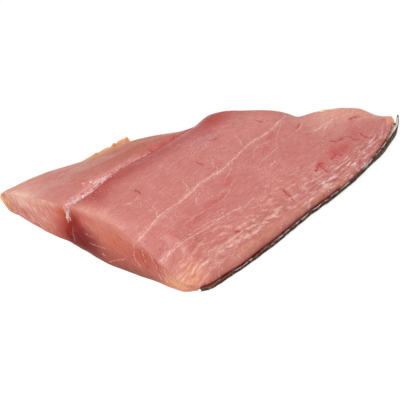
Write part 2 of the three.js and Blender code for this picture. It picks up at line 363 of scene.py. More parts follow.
# Where the first columns lie, as shares of a row's length; the last ones mirror them.
FINE_END = np.array([0, 0.0012, 0.003, 0.0055, 0.009, 0.014])


def column_shares(count):
    """Shares of a row's length, crowded at the knife cut and at the far edge."""
    middle = np.linspace(FINE_END[-1], 1 - FINE_END[-1], count)
    return np.concatenate([FINE_END[:-1], middle, 1 - FINE_END[-2::-1]])


def plan_row(row_y, start_x, end_x, shares):
    """Plan points on y = row_y(x), from x = start_x(y) to x = end_x(y)."""
    x = LENGTH * shares
    for _ in range(12):  # the row's ends depend on y, and y on x: twelve rounds settle both
        y = row_y(x)
        x = mix(start_x(y), end_x(y), shares)
    return np.stack([x, row_y(x)], -1)


def plan_grid(shares, loin_rows, belly_rows, first_row, start_x, end_x):
    """Rows from the back edge, over the seam, to the belly edge."""
    rows = []
    for t in loin_rows:
        rows.append(plan_row(
            lambda x: mix(first_row(x), seam(x) - SEAM_STEP, t), start_x, end_x, shares,
        ))
    for t in belly_rows:
        rows.append(plan_row(
            lambda x: mix(seam(x), belly_edge(x), t), start_x,
            lambda y: mix(SEAM_END, FLAP_END, t), shares,
        ))
    return np.array(rows)


def crowded(count, start, end):
    """Shares from 0 to 1 that crowd by the given strengths towards each end."""
    t = np.linspace(0, 1, count)
    pull = start * t * (1 - t) ** 2 - end * t * t * (1 - t)
    return t - pull


# ---- meshes ------------------------------------------------------------------------------


def border(rows, columns):
    """Border of a grid as two index arrays, anticlockwise seen from above."""
    pairs = [(0, c) for c in range(columns - 1)]
    pairs += [(r, columns - 1) for r in range(rows - 1)]
    pairs += [(rows - 1, c) for c in range(columns - 1, 0, -1)]
    pairs += [(r, 0) for r in range(rows - 1, 0, -1)]
    return np.array(pairs).T


def grid_quads(rows, columns, start=0):
    """Quads between the points of a grid, facing up."""
    index = start + np.arange(rows * columns).reshape(rows, columns)
    quads = np.stack([index[:-1, :-1], index[:-1, 1:], index[1:, 1:], index[1:, :-1]], -1)
    return quads.reshape(-1, 4)


def ring_quads(upper, lower):
    """Quads of the wall between two rings of vertex numbers."""
    return np.stack([lower, np.roll(lower, -1), np.roll(upper, -1), upper], -1)


def to_metres(points):
    """From millimetres in the fillet frame to metres in the shared frame."""
    return (points - (MIDDLE[0], MIDDLE[1], 0)) / 1000


def new_object(name, mesh):
    piece = bpy.data.objects.new(name, mesh)
    bpy.context.scene.collection.objects.link(piece)
    return piece


def build_mesh(name, points, faces, attributes):
    """A smooth mesh object from points in millimetres in the fillet frame."""
    mesh = bpy.data.meshes.new(name)
    mesh.from_pydata(to_metres(points).tolist(), [], faces)
    for key, values in attributes.items():
        is_colour = values.ndim == 2
        layer = mesh.attributes.new(key, "FLOAT_COLOR" if is_colour else "FLOAT", "POINT")
        flat = np.ascontiguousarray(values, np.float32).ravel()
        layer.data.foreach_set("color" if is_colour else "value", flat)
    edit = bmesh.new()
    edit.from_mesh(mesh)
    bmesh.ops.remove_doubles(edit, verts=edit.verts, dist=1e-7)
    big = [face for face in edit.faces if len(face.verts) > 4]
    bmesh.ops.triangulate(edit, faces=big)
    edit.to_mesh(mesh)
    edit.free()
    mesh.shade_smooth()
    return new_object(name, mesh)


def shown(hex_colour):
    """An sRGB hex colour as three shares."""
    return np.array([int(hex_colour[i:i + 2], 16) / 255 for i in (1, 3, 5)])


def linear(colours):
    """sRGB shares, or an sRGB hex colour, as linear RGBA."""
    channels = shown(colours) if isinstance(colours, str) else colours
    decoded = np.where(channels <= 0.04045, channels / 12.92, ((channels + 0.055) / 1.055) ** 2.4)
    return np.concatenate([decoded, np.ones((*decoded.shape[:-1], 1))], -1)


def blend(colours, mask, hex_colour):
    """Blends a colour over others, by a mask."""
    return mix(colours, shown(hex_colour), mask[..., None])


def paint(colours, a, b, patches):
    """Blends soft oval patches (centre a, centre b, reach a, reach b, colour, strength)."""
    for centre_a, centre_b, reach_a, reach_b, colour, strength in patches:
        near = np.exp(-(((a - centre_a) / reach_a) ** 2) - ((b - centre_b) / reach_b) ** 2)
        colours = blend(colours, strength * near, colour)
    return colours


# ---- flesh -------------------------------------------------------------------------------

FLESH_SHARES = column_shares(350)
FLESH_LOIN_ROWS = crowded(122, 0.6, 0.5)
FLESH_BELLY_ROWS = crowded(46, 0.6, 0.3)
WALL_RINGS = 24
THINNEST = 1  # flesh at its far edges, in millimetres
LEAN_SHARE = 0.1  # of a row's length over which the lean of the cut runs out

# Colours of the muscle: clean flesh, bloody flesh, fat and membrane.
ROSE = "#c37972"
PALE_ROSE = "#d9988a"
DUSKY_ROSE = "#be7470"
DEEP_ROSE = "#b6675e"
CUT_ROSE = "#c47264"
SHELL = "#d48e84"
SALMON = "#ce867c"
CORAL = "#ce8070"
LILAC = "#bd7a7e"
RUDDY = "#b6574b"
WET_RED = "#b35049"
BRUISE_RED = "#bb484a"
DEEP_RED = "#a23630"
BRICK = "#9c4038"
DARK_RED = "#932319"
BLOOD_BROWN = "#761a16"
MAROON = "#520a0a"
OLIVE = "#7d5a48"
TAN = "#c48460"
PEACH = "#da9672"
PALE_PEACH = "#dda08a"
APRICOT = "#dda37e"
ORANGE_PINK = "#cd8a74"
MEMBRANE_AND_HIGHLIGHT = "#e8b8a6"
MEMBRANE_AND_HIGHLIGHT_WHITE = "#f0cdbe"

# Where the top is of another colour than rose, painted highlights among them: x, y, reach in x,
# reach in y, colour, strength.
TOP_PATCHES = [
    (60, 133, 45, 14, "#bd7468", 0.9),
    (95, 126, 34, 14, "#b0685a", 0.75),
    (4, 160, 20, 30, PALE_ROSE, 1.0),
    (16, 126, 10, 16, ROSE, 0.6),
    (8, 88, 9, 24, PALE_ROSE, 0.8),
    (95, 40, 75, 9, DUSKY_ROSE, 0.55),
    (60, 30, 30, 7, DUSKY_ROSE, 0.5),
    (121, 92, 12, 9, LILAC, 0.8),
    (140, 100, 20, 8, WET_RED, 0.6),
    (165, 86, 14, 6, DUSKY_ROSE, 0.6),
    (150, 75, 30, 10, SALMON, 0.5),
    (205, 48, 22, 12, PALE_ROSE, 0.9),
    (232, 38, 18, 12, PALE_ROSE, 0.8),
    (205, 22, 45, 8, DUSKY_ROSE, 0.5),
    (80, 16, 50, 6, PALE_ROSE, 0.3),
    (80, 13, 34, 5, DEEP_ROSE, 0.7),
    (34, 29, 12, 12, DEEP_ROSE, 0.75),
    (120, 34, 10, 8, SHELL, 0.4),
    (200, 36, 14, 8, PALE_ROSE, 0.35),
    (165, 102, 14, 6, SALMON, 0.5),
    (100, 133, 36, 10, "#b65a46", 0.85),
    (74, 145, 20, 5, "#b87a58", 0.5),
    (152, 108, 22, 5, WET_RED, 0.35),
    # Painted highlights along the cut's top edge: at the belly tip, and beside the crease.
    (2, 150, 5, 10, "#ecc8b2", 0.8),
    (5, 97, 5, 6, PALE_PEACH, 0.5),
    (20, 18, 9, 9, PEACH, 0.8),
    (222, 47, 14, 8, PALE_PEACH, 0.6),
    (240, 30, 10, 8, PALE_PEACH, 0.5),
    (212, 22, 10, 5, "#c45a54", 0.5),
    (178, 18, 12, 5, "#c45a54", 0.5),
]
# The same on the cut face, painted highlights among them: y, z, reach in y, reach in z, colour,
# strength.
CUT_PATCHES = [
    (150, 8, 30, 9, CUT_ROSE, 0.9),
    (128, 12, 10, 10, CORAL, 0.7),
    (85, 22, 14, 6, CORAL, 0.8),
    (70, 18, 16, 6, "#c86c56", 0.9),
    (48, 14, 15, 7, RUDDY, 0.8),
    (76, 1, 24, 5, BRICK, 0.55),
    (60, 1, 20, 4, OLIVE, 0.5),
    (113, 18, 4, 6, "#d2604a", 0.8),
    (113, 7, 5, 9, RUDDY, 0.8),
    (90, 9, 14, 5, BRICK, 0.7),
    (66, 6, 10, 4, "#a84e44", 0.5),
    (55, 24, 5, 4, PALE_ROSE, 0.4),
    (35, 18, 5, 4, PALE_ROSE, 0.4),
    (95, 24.5, 9, 2.5, "#c45e50", 0.6),
    # A painted highlight along the top edge, beside the crease.
    (96, 30, 7, 2, MEMBRANE_AND_HIGHLIGHT, 0.8),
    (95, 9, 11, 6, BLOOD_BROWN, 0.9),
    (96, 14, 7, 4, BRICK, 0.8),
    (104, 15, 5, 5, DARK_RED, 0.9),
    (106, 11, 3.5, 8, DARK_RED, 0.9),
    (105, 10, 6, 6, "#740c0a", 1.0),
    (98, 7, 8, 5, MAROON, 1.0),
    (91, 4, 9, 4, "#5a1612", 0.9),
    (86, 2, 9, 4, "#8a3226", 0.6),
    (103, 6, 6, 5, "#640000", 1.0),
    (97, 12, 6, 4, "#8a1c18", 0.6),
    (102, 17, 4, 6, "#9c2820", 0.7),
    (104, 11, 4, 7, "#8a0a04", 0.8),
    (111, 12, 2.5, 8, "#b8503e", 0.6),
    (95, 8, 6, 4, BLOOD_BROWN, 0.5),
    (94, -0.5, 14, 2.4, "#8c6848", 0.7),
    (24, 5, 9, 7, APRICOT, 0.9),
    (166, 6, 7, 7, APRICOT, 0.8),
    # A painted highlight along the top edge near the belly tip.
    (148, 13, 12, 4, MEMBRANE_AND_HIGHLIGHT, 0.7),
]

# The crease that runs down the cut face below the seam: y for each z.
crease = curve([(0, 104), (5, 105.3), (10, 107), (15, 108.3), (20, 109.8), (24.7, 110.8)], 1, 1)

# The torn tissue along the seam: its ends in x, and y and half its width for each x.
TISSUE_ENDS = (5.5, 110)
tissue_line = curve(
    [
        (0.025, 0.642), (0.06, 0.647), (0.098, 0.652), (0.171, 0.669), (0.276, 0.678),
        (0.392, 0.678), (0.51, 0.684),
    ],
    LENGTH, WIDTH,
)
tissue_width = curve(
    [(4, 0.35), (14, 0.6), (26, 0.85), (36, 1), (46, 0.95), (58, 0.65), (80, 0.4), (116, 0.3)],
    1, 5,
)


def top_colours(x, y):
    """Colours of the top, before the fine patterns of the material."""
    colours = np.broadcast_to(shown(ROSE), (*x.shape, 3))
    colours = paint(colours, x, y, TOP_PATCHES)
    before_seam = seam(x) - 2 - y
    # A deeper red over the valley beside the seam.
    valley = band(before_seam, 0, 4, 24) * band(x, 26, 156, 24) * (before_seam > -2)
    colours = blend(colours, 0.8 * valley, DEEP_RED)
    near_seam = band(before_seam, 0, 3, 7) * band(x, 92, 150, 20)
    colours = blend(colours, 0.45 * near_seam, "#b43c34")
    past_seam = y - seam(x)
    ridge = band(past_seam, -1, 1.5, 2) * band(x, 70, 145, 20) * (0.5 + 0.5 * lumps(x, y, 7, 3, 52))
    colours = blend(colours, 0.5 * ridge, SHELL)
    flap_rim = (1 - smoothstep(belly_edge(x) - y, 1, 12)) * flap_share(x) * (past_seam > 0)
    colours = blend(colours, 0.9 * flap_rim, TAN)
    # Fat at the far tip, wider towards the back.
    from_end = flesh_end(y) - x
    reach = np.maximum(11 - 0.65 * (y - 15), 0)
    fat = (1 - smoothstep(from_end, reach - 2, reach + 0.5)) * band(y, 14.5, 28, 2)
    colours = blend(colours, 0.75 * fat, "#e8a184")
    colours = blend(colours, 0.7 * fat * (1 - smoothstep(from_end, 2, 4.5)), "#f6c296")
    from_tissue = np.abs(y - tissue_line(x)) / tissue_width(x)
    torn = (1 - smoothstep(from_tissue, 0.7, 1.3)) * (1 - smoothstep(x, 70, 120))
    colours = blend(colours, 0.9 * torn, "#dd938c")
    back_rim = band(y - back_edge(x), -1, 1.5, 4) * band(x, 60, 165, 25)
    return blend(colours, 0.6 * back_rim, ORANGE_PINK)


def cut_colours(y, z, t):
    """Colours of the cut face, with painted shade towards its foot and a painted highlight along
    its top edge; t is the share of its height.
    """
    colours = np.broadcast_to(shown(CUT_ROSE), (*y.shape, 3))
    # Darker towards the foot of the cut face: partly the flesh's own colour, partly painted shade.
    low = (1 - smoothstep(t, 0, 0.6)) * band(y, 40, 110, 15)
    colours = blend(colours, 0.6 * low, "#9c564c")
    colours = paint(colours, y, z, CUT_PATCHES)
    # A painted highlight along the top edge, widest and strongest towards the belly tip.
    highlight_start = mix(0.82, 0.45, smoothstep(y, 118, 140))
    highlight_strength = smoothstep(y, 24, 44) * mix(0.3, 0.7, smoothstep(y, 108, 122))
    return blend(colours, smoothstep(t, highlight_start, 1) * highlight_strength, "#e3ab98")


def side_colours(colours, x, y, t):
    """Colours down the other sides, from those along the edge above."""
    colours = blend(colours, 1 - smoothstep(t, 0.5, 1), CUT_ROSE)
    # Dark red at the foot of the walls: partly torn dark muscle, partly painted shade where they
    # meet the skin.
    colours = blend(colours, 1 - smoothstep(t, 0.12, 0.3), "#86403c")
    # White membrane under the far tip, and a brick-red strip above it.
    white = smoothstep(x, 226, 240) * fade(y - back_edge(x), 16) * (1 - smoothstep(t, 0.75, 0.95))
    colours = blend(colours, white, "#e2d2c8")
    return blend(colours, band(x, 236, 243, 3) * band(t, 0.5, 0.95, 0.1) * (y < 20), "#96483f")


def foot_of_wall(x, y, underside, at_cut):
    """The lowest ring of the flesh's wall, from the height of its underside along the edge."""
    # The flesh sags over the skin at the cut, down to what it lies on, but not near the belly.
    shut = smoothstep(y, 0.7 * WIDTH, 0.85 * WIDTH)
    return np.stack([x, y, np.where(at_cut, shut, 1) * underside], -1)


def outward_from(ring):
    """Level vectors of length 1 that point out of an anticlockwise ring."""
    along = np.roll(ring, -1, 0) - np.roll(ring, 1, 0)
    outward = np.stack([along[:, 1], -along[:, 0], 0 * along[:, 0]], -1)
    return outward / np.linalg.norm(outward, axis=1, keepdims=True)


def carved_cut(y, z, t):
    """How deep the crease and the torn grain go into the cut face; t is the share of its height."""
    from_crease = (y - crease(z)) / NOTCH["half_width"]
    notch = NOTCH["depth"] * np.exp(-(from_crease**2)) * band(t, 0.4, 0.86, 0.3)
    return notch + 0.25 * lumps(y, z, 6, 2.5, 31) * smoothstep(1 - t, 0, 0.1)


def flesh_geometry():
    """The muscle as one closed mesh: its top, its walls in rings, and its bottom."""
    plan = plan_grid(
        FLESH_SHARES, FLESH_LOIN_ROWS, FLESH_BELLY_ROWS, lambda x: back_edge(x) + flesh_inset(x),
        knife_cut, flesh_end,
    )
    x, y = plan[..., 0], plan[..., 1]
    rows, columns = x.shape
    underside = lift(x, y - RIM_GAP) + SKIN_THICKNESS + GAP
    z = np.maximum(flesh_top(x, y), underside + THINNEST)
    lean = math.tan(CUT_LEAN) * z * np.clip(1 - FLESH_SHARES / LEAN_SHARE, 0, 1)
    upper = np.stack([x + lean, y, z], -1)
    colours = top_colours(x, y)

    edge = tuple(border(rows, columns))
    at_cut = edge[1] == 0
    edge_x, edge_y, edge_colours = x[edge], y[edge], colours[edge]
    top = upper[edge]
    bottom = foot_of_wall(edge_x, edge_y, underside[edge], at_cut)
    bulge = np.where(at_cut, 0.0, np.where(edge[0] == 0, BACK_BULGE, FAR_BULGE))
    bulging = outward_from(bottom) * bulge[:, None]

    points = [upper.reshape(-1, 3)]
    faces = grid_quads(rows, columns).tolist()
    ring = edge[0] * columns + edge[1]
    start = rows * columns
    count = len(ring)
    cut = [np.zeros(start)]
    tints = [colours.reshape(-1, 3)]
    for step in range(1, WALL_RINGS + 1):
        t = 1 - step / WALL_RINGS
        wall = mix(bottom, top, t) + bulging * math.sin(math.pi * t)
        wall_y, wall_z = wall[:, 1], wall[:, 2]
        wall[:, 0] += at_cut * carved_cut(wall_y, wall_z, t)
        points.append(wall)
        cut.append(at_cut.astype(float))
        share = np.full(count, t)
        on_cut = cut_colours(wall_y, wall_z, share)
        on_side = side_colours(edge_colours, edge_x, edge_y, share)
        tints.append(np.where(at_cut[:, None], on_cut, on_side))
        lower = start + np.arange(count)
        faces += ring_quads(ring, lower).tolist()
        ring, start = lower, start + count

    # The bottom closes over an inner ring, a few rows and columns in from the edge.
    inset = np.clip(edge[0], 2, rows - 3), np.clip(edge[1], 4, columns - 5)
    inner = np.stack([x[inset], y[inset], underside[inset]], -1)
    points.append(inner)
    cut.append(np.zeros(count))
    tints.append(np.broadcast_to(shown("#a06a5a"), (count, 3)))
    lower = start + np.arange(count)
    faces += ring_quads(ring, lower).tolist()
    faces.append(lower[::-1].tolist())
    points = np.concatenate(points)
    return points, faces, {
        "cut": np.concatenate(cut),
        "tint": linear(np.concatenate(tints)),
        "inward": points[:, 1] - back_edge(points[:, 0]),
    }


flesh = build_mesh("flesh_muscle", *flesh_geometry())

# ---- skin --------------------------------------------------------------------------------

SKIN_SHARES = column_shares(230)
SKIN_LOIN_ROWS = crowded(70, 0.9, 0)
SKIN_BELLY_ROWS = crowded(24, 0, 0.5)
TONGUE_ROWS = 8
TONGUE_HEIGHT = 8.5
TONGUE_REACH = 5
BELLY_OUTWARD = np.array([0.39, 0.92, 0])
# The rim rises to a small spike at the far tip.
SPIKE = {"height": 0.8, "along": (246, 258), "reach": 5}
# The skin thins over the rows of the tongue, by shares of its thickness.
TONGUE_THINNING = (0.9, 0.45)

# The share of its height that the torn tongue stands up from the belly edge, for each x.
tongue = curve(
    [
        (54, 0), (62, 0.42), (70, 0.56), (76, 0.64), (83, 0.76), (86, 0.7), (94, 0.86), (99, 0.9),
        (101, 1), (103.5, 0.5), (106, 0),
    ],
    1, 1,
)


def skin_geometry():
    """The skin as one closed sheet, with its turned-up rim, its belly lip and the torn tongue."""
    plan = plan_grid(
        SKIN_SHARES, SKIN_LOIN_ROWS, SKIN_BELLY_ROWS, back_line,
        lambda y: knife_cut(y) + skin_inset(y), skin_end,
    )
    x, y = plan[..., 0], plan[..., 1]
    from_rim = y - back_line(x)
    spike = SPIKE["height"] * smoothstep(x, *SPIKE["along"]) * fade(from_rim, SPIKE["reach"])
    torn_edge = 0.5 * lumps(x, y, 2.4, 9, 41) + 0.4 * lumps(x, y, 6, 9, 43)
    ragged = torn_edge * fade(from_rim, 3) * smoothstep(x, 20, 40)
    lower = np.stack([x, y, lift(x, y) + spike + ragged], -1)

    # Rows past the belly edge: first the lip, then the tongue that stands up from it.
    edge_row = lower[-1]
    rise = tongue(edge_row[:, 0])
    torn = 1 + 0.14 * lumps(edge_row[:, 0], 0 * rise, 2.5, 1, 42)
    lips = []
    for step in range(1, TONGUE_ROWS + 1):
        t = step / TONGUE_ROWS
        reach = BELLY_LIP * flap_share(edge_row[:, 0]) * min(1, 3 * t) + TONGUE_REACH * rise * t
        row = edge_row + BELLY_OUTWARD * (END_LIP * t + reach)[:, None]
        row[:, 2] += TONGUE_HEIGHT * rise * torn * t**1.4
        lips.append(row)
    lower = np.concatenate([lower, np.array(lips)])

    normal = np.cross(np.gradient(lower, axis=1), np.gradient(lower, axis=0))
    normal /= np.maximum(np.linalg.norm(normal, axis=-1, keepdims=True), 1e-9)
    # Where the sheet stands upright, it is thickened straight up.
    normal = np.where(normal[..., 2:] < 0.02, np.array([0, 0, 1]), normal)
    thinning = np.ones(len(lower))
    thinning[-TONGUE_ROWS:] = np.linspace(*TONGUE_THINNING, TONGUE_ROWS)
    upper = lower + normal * SKIN_THICKNESS * thinning[:, None, None]
    points = np.concatenate([upper.reshape(-1, 3), lower.reshape(-1, 3)])
    rows, columns = lower.shape[:2]
    count = rows * columns
    faces = grid_quads(rows, columns).tolist()
    faces += grid_quads(rows, columns, count)[:, ::-1].tolist()
    edge = border(rows, columns)
    ring = edge[0] * columns + edge[1]
    faces += ring_quads(ring, ring + count).tolist()
    inner = np.concatenate([np.ones(count), np.zeros(count)])
    return points, faces, {"inner": inner, "belly": points[:, 1] / WIDTH}


skin = build_mesh("skin_sheet", *skin_geometry())

# ---- helpers for node trees --------------------------------------------------------------


def add(tree, kind, inputs=None, **settings):
    """Adds a node with its settings, and sets or links its inputs."""
    node = tree.nodes.new(kind)
    for key, value in settings.items():
        setattr(node, key, value)
    for key, value in (inputs or {}).items():
        if isinstance(value, bpy.types.Node):
            value = value.outputs[0]
        if isinstance(value, bpy.types.NodeSocket):
            tree.links.new(value, node.inputs[key])
        else:
            node.inputs[key].default_value = value
    return node


def add_ports(tree, inputs, outputs):
    """Names a node group's inputs and outputs."""
    for way, ports in (("INPUT", inputs), ("OUTPUT", outputs)):
        for name, kind in ports.items():
            tree.interface.new_socket(name, in_out=way, socket_type="NodeSocket" + kind)


# ---- tissue: strands and flecks grown along paths ----------------------------------------

FALL_FROM = 0.05  # metres above a surface from which tissue falls on it
STRAND_SIDES = 7


def strand_tree():
    """Ragged strands that wander along a path, dive into the surface and come up again."""
    tree = bpy.data.node_groups.new("tissue_strands", "GeometryNodeTree")
    ports = {
        "Path": "Geometry", "Strands": "Int", "Wander": "Float", "Thickness": "Float",
        "Lumps": "Float", "Surface": "Object", "Rise": "Float", "Seed": "Float",
        "Material": "Material",
    }
    add_ports(tree, ports, {"Tissue": "Geometry"})
    given = add(tree, "NodeGroupInput").outputs
    path = add(tree, "GeometryNodeMeshToCurve", {"Mesh": given["Path"]})
    even = add(tree, "GeometryNodeResampleCurve", {"Curve": path, "Length": 0.0005}, mode="LENGTH")
    copies = add(
        tree, "GeometryNodeDuplicateElements", {"Geometry": even, "Amount": given["Strands"]},
        domain="SPLINE",
    )
    which = copies.outputs["Duplicate Index"]
    place = add(tree, "GeometryNodeInputPosition")
    # Every strand has its own place beside the path, and its own stretch of noise to sway by.
    own = add(
        tree, "ShaderNodeMath", {0: which, 1: 5.3, 2: given["Seed"]}, operation="MULTIPLY_ADD",
    )
    side = add(
        tree, "FunctionNodeRandomValue",
        {"Min": (-0.4, -1, 0), "Max": (0.4, 1, 0), "ID": which}, data_type="FLOAT_VECTOR",
    )
    width = add(tree, "GeometryNodeInputNamedAttribute", {"Name": "width"}, data_type="FLOAT")
    aside = add(tree, "ShaderNodeVectorMath", {0: side, "Scale": width}, operation="SCALE")
    sway = add(
        tree, "ShaderNodeTexNoise",
        {"Vector": place, "W": own, "Scale": 130, "Detail": 5, "Roughness": 0.6},
        noise_dimensions="4D",
    )
    centred = add(
        tree, "ShaderNodeVectorMath", {0: sway.outputs["Color"], 1: (0.5, 0.5, 0.5)},
        operation="SUBTRACT",
    )
    swayed = add(
        tree, "ShaderNodeVectorMath", {0: centred, "Scale": given["Wander"]}, operation="SCALE",
    )
    stray = add(tree, "ShaderNodeVectorMath", {0: aside, 1: swayed}, operation="ADD")
    strayed = add(tree, "ShaderNodeVectorMath", {0: place, 1: stray}, operation="ADD")
    # Each strand falls on the surface, and weaves in and out of it.
    high_above = add(
        tree, "ShaderNodeVectorMath", {0: strayed, 1: (0, 0, FALL_FROM)}, operation="ADD",
    )
    below = add(tree, "GeometryNodeObjectInfo", {"Object": given["Surface"]})
    landed = add(tree, "GeometryNodeRaycast", {
        "Target Geometry": below.outputs["Geometry"], "Source Position": high_above,
        "Ray Direction": (0, 0, -1), "Ray Length": 2 * FALL_FROM,
    }).outputs["Hit Position"]
    depth = add(tree, "ShaderNodeSeparateXYZ", {0: centred}).outputs["Z"]
    weave = add(tree, "ShaderNodeMath", {0: depth, 1: given["Wander"]}, operation="MULTIPLY")
    raised = add(
        tree, "ShaderNodeMath", {0: weave, 1: 0.25, 2: given["Rise"]}, operation="MULTIPLY_ADD",
    )
    upward = add(tree, "ShaderNodeCombineXYZ", {"Z": raised})
    resting = add(tree, "ShaderNodeVectorMath", {0: landed, 1: upward}, operation="ADD")
    wandering = add(tree, "GeometryNodeSetPosition", {"Geometry": copies, "Position": resting})
    ragged = add(
        tree, "ShaderNodeTexNoise",
        {"Vector": place, "W": own, "Scale": given["Lumps"], "Detail": 2},
        noise_dimensions="4D",
    )
    share = add(tree, "ShaderNodeMapRange", {
        "Value": ragged, "From Min": 0.42, "From Max": 0.72, "To Min": 0.08, "To Max": 1.3,
    })
    radius = add(tree, "ShaderNodeMath", {0: share, 1: given["Thickness"]}, operation="MULTIPLY")
    ring = add(
        tree, "GeometryNodeCurvePrimitiveCircle", {"Resolution": STRAND_SIDES, "Radius": 1.0},
    )
    tube = add(tree, "GeometryNodeCurveToMesh", {
        "Curve": wandering, "Profile Curve": ring.outputs["Curve"], "Scale": radius,
        "Fill Caps": True,
    })
    real = add(tree, "GeometryNodeRealizeInstances", {"Geometry": tube})
    smooth = add(tree, "GeometryNodeSetShadeSmooth", {"Geometry": real})
    finished = add(
        tree, "GeometryNodeSetMaterial", {"Geometry": smooth, "Material": given["Material"]},
    )
    add(tree, "NodeGroupOutput", {"Tissue": finished})
    return tree


def fleck_tree():
    """A small rounded fleck on each point, turned by its facing and scaled by its size."""
    tree = bpy.data.node_groups.new("tissue_flecks", "GeometryNodeTree")
    ports = {
        "Points": "Geometry", "Fleck Size": "Vector", "Roughening": "Float", "Material": "Material",
    }
    add_ports(tree, ports, {"Tissue": "Geometry"})
    given = add(tree, "NodeGroupInput").outputs
    facing = add(
        tree, "GeometryNodeInputNamedAttribute", {"Name": "facing"}, data_type="FLOAT_VECTOR",
    )
    size = add(tree, "GeometryNodeInputNamedAttribute", {"Name": "size"}, data_type="FLOAT")
    scale = add(
        tree, "ShaderNodeVectorMath", {0: given["Fleck Size"], "Scale": size}, operation="SCALE",
    )
    ball = add(tree, "GeometryNodeMeshIcoSphere", {"Radius": 1.0, "Subdivisions": 2})
    spread = add(
        tree, "GeometryNodeInstanceOnPoints",
        {"Points": given["Points"], "Instance": ball, "Rotation": facing, "Scale": scale},
    )
    real = add(tree, "GeometryNodeRealizeInstances", {"Geometry": spread})
    place = add(tree, "GeometryNodeInputPosition")
    noise = add(tree, "ShaderNodeTexNoise", {"Vector": place, "Scale": 700, "Detail": 1})
    centred = add(
        tree, "ShaderNodeVectorMath", {0: noise.outputs["Color"], 1: (0.5, 0.5, 0.5)},
        operation="SUBTRACT",
    )
    offset = add(
        tree, "ShaderNodeVectorMath", {0: centred, "Scale": given["Roughening"]}, operation="SCALE",
    )
    rough = add(tree, "GeometryNodeSetPosition", {"Geometry": real, "Offset": offset})
    smooth = add(tree, "GeometryNodeSetShadeSmooth", {"Geometry": rough})
    finished = add(
        tree, "GeometryNodeSetMaterial", {"Geometry": smooth, "Material": given["Material"]},
    )
    add(tree, "NodeGroupOutput", {"Tissue": finished})
    return tree


def grow(name, source, tree, settings):
    """A mesh piece grown from a source mesh by a geometry node tree."""
    seedling = new_object(name + "_source", source)
    modifier = seedling.modifiers.new("grow", "NODES")
    modifier.node_group = tree
    for item in tree.interface.items_tree:
        if item.name in settings:
            modifier[item.identifier] = settings[item.name]
    depsgraph = bpy.context.evaluated_depsgraph_get()
    mesh = bpy.data.meshes.new_from_object(seedling.evaluated_get(depsgraph))
    bpy.data.objects.remove(seedling)
    mesh.name = name
    return new_object(name, mesh)


def path_mesh(name, points, width):
    """A line through points in millimetres in the fillet frame, with its tissue's width."""
    mesh = bpy.data.meshes.new(name)
    edges = [(i, i + 1) for i in range(len(points) - 1)]
    mesh.from_pydata(to_metres(points).tolist(), edges, [])
    mesh.attributes.new("width", "FLOAT", "POINT").data.foreach_set("value", width / 1000)
    return mesh


def fleck_points(name, points, seed, upright=False):
    """Points in millimetres in the fillet frame, each with the facing and size of its fleck."""
    random = np.random.default_rng(seed)
    mesh = bpy.data.meshes.new(name)
    mesh.from_pydata(to_metres(points).tolist(), [], [])
    facing = random.uniform(-math.pi, math.pi, (len(points), 3)) * (0.15, 0.15, 1)
    if upright:
        facing = np.array([1, 1, 1]) * math.pi / 2 + facing * (1, 1, 0.1)
    sizes = random.uniform(0.4, 1.2, len(points))
    facing_layer = mesh.attributes.new("facing", "FLOAT_VECTOR", "POINT")
    facing_layer.data.foreach_set("vector", facing.ravel())
    mesh.attributes.new("size", "FLOAT", "POINT").data.foreach_set("value", sizes)
    return mesh


def over_flesh(x, y, above):
    """Points at a height above the flesh's top."""
    return np.stack([x, y, flesh_top(x, y) + above], -1)


# ---- materials ---------------------------------------------------------------------------


def new_material(name):
    material = bpy.data.materials.new(name)
    material.use_nodes = True
    material.node_tree.nodes.clear()
    return material


def simple(name, colour, roughness, **extra):
    """A material of one colour, with other inputs of its surface by name."""
    material = new_material(name)
    tree = material.node_tree
    inputs = {"Base Color": linear(colour), "Roughness": roughness}
    inputs.update({key.replace("_", " "): value for key, value in extra.items()})
    surface = add(tree, "ShaderNodeBsdfPrincipled", inputs)
    add(tree, "ShaderNodeOutputMaterial", {"Surface": surface})
    return material


def mask_where(tree, *conditions):
    """The product of masks, each given as a mask, a share, or (value, where it is 0, where 1)."""
    mask = None
    for condition in conditions:
        if isinstance(condition, tuple):
            value, none, full = condition
            condition = add(
                tree, "ShaderNodeMapRange", {"Value": value, "From Min": none, "From Max": full},
                interpolation_type="SMOOTHSTEP", clamp=False,
            )
        mask = condition if mask is None else add(
            tree, "ShaderNodeMath", {0: mask, 1: condition}, operation="MULTIPLY",
        )
    return mask


def streak_group():
    """A soft streak between two places, in millimetres."""
    tree = bpy.data.node_groups.new("streak", "ShaderNodeTree")
    ports = {"Place": "Vector", "Start": "Vector", "End": "Vector", "Half Width": "Float"}
    add_ports(tree, ports, {"Mask": "Float"})
    given = add(tree, "NodeGroupInput").outputs
    from_start = add(
        tree, "ShaderNodeVectorMath", {0: given["Place"], 1: given["Start"]}, operation="SUBTRACT",
    )
    whole = add(
        tree, "ShaderNodeVectorMath", {0: given["End"], 1: given["Start"]}, operation="SUBTRACT",
    )
    along = add(
        tree, "ShaderNodeVectorMath", {0: from_start, 1: whole}, operation="DOT_PRODUCT",
    ).outputs["Value"]
    full = add(
        tree, "ShaderNodeVectorMath", {0: whole, 1: whole}, operation="DOT_PRODUCT",
    ).outputs["Value"]
    share = add(tree, "ShaderNodeMath", {0: along, 1: full}, operation="DIVIDE")
    share = add(tree, "ShaderNodeClamp", {"Value": share})
    nearest = add(tree, "ShaderNodeVectorMath", {0: whole, "Scale": share}, operation="SCALE")
    apart = add(
        tree, "ShaderNodeVectorMath", {0: from_start, 1: nearest}, operation="DISTANCE",
    ).outputs["Value"]
    near = mask_where(tree, (apart, given["Half Width"], 0.0))
    add(tree, "NodeGroupOutput", {"Mask": near})
    return tree


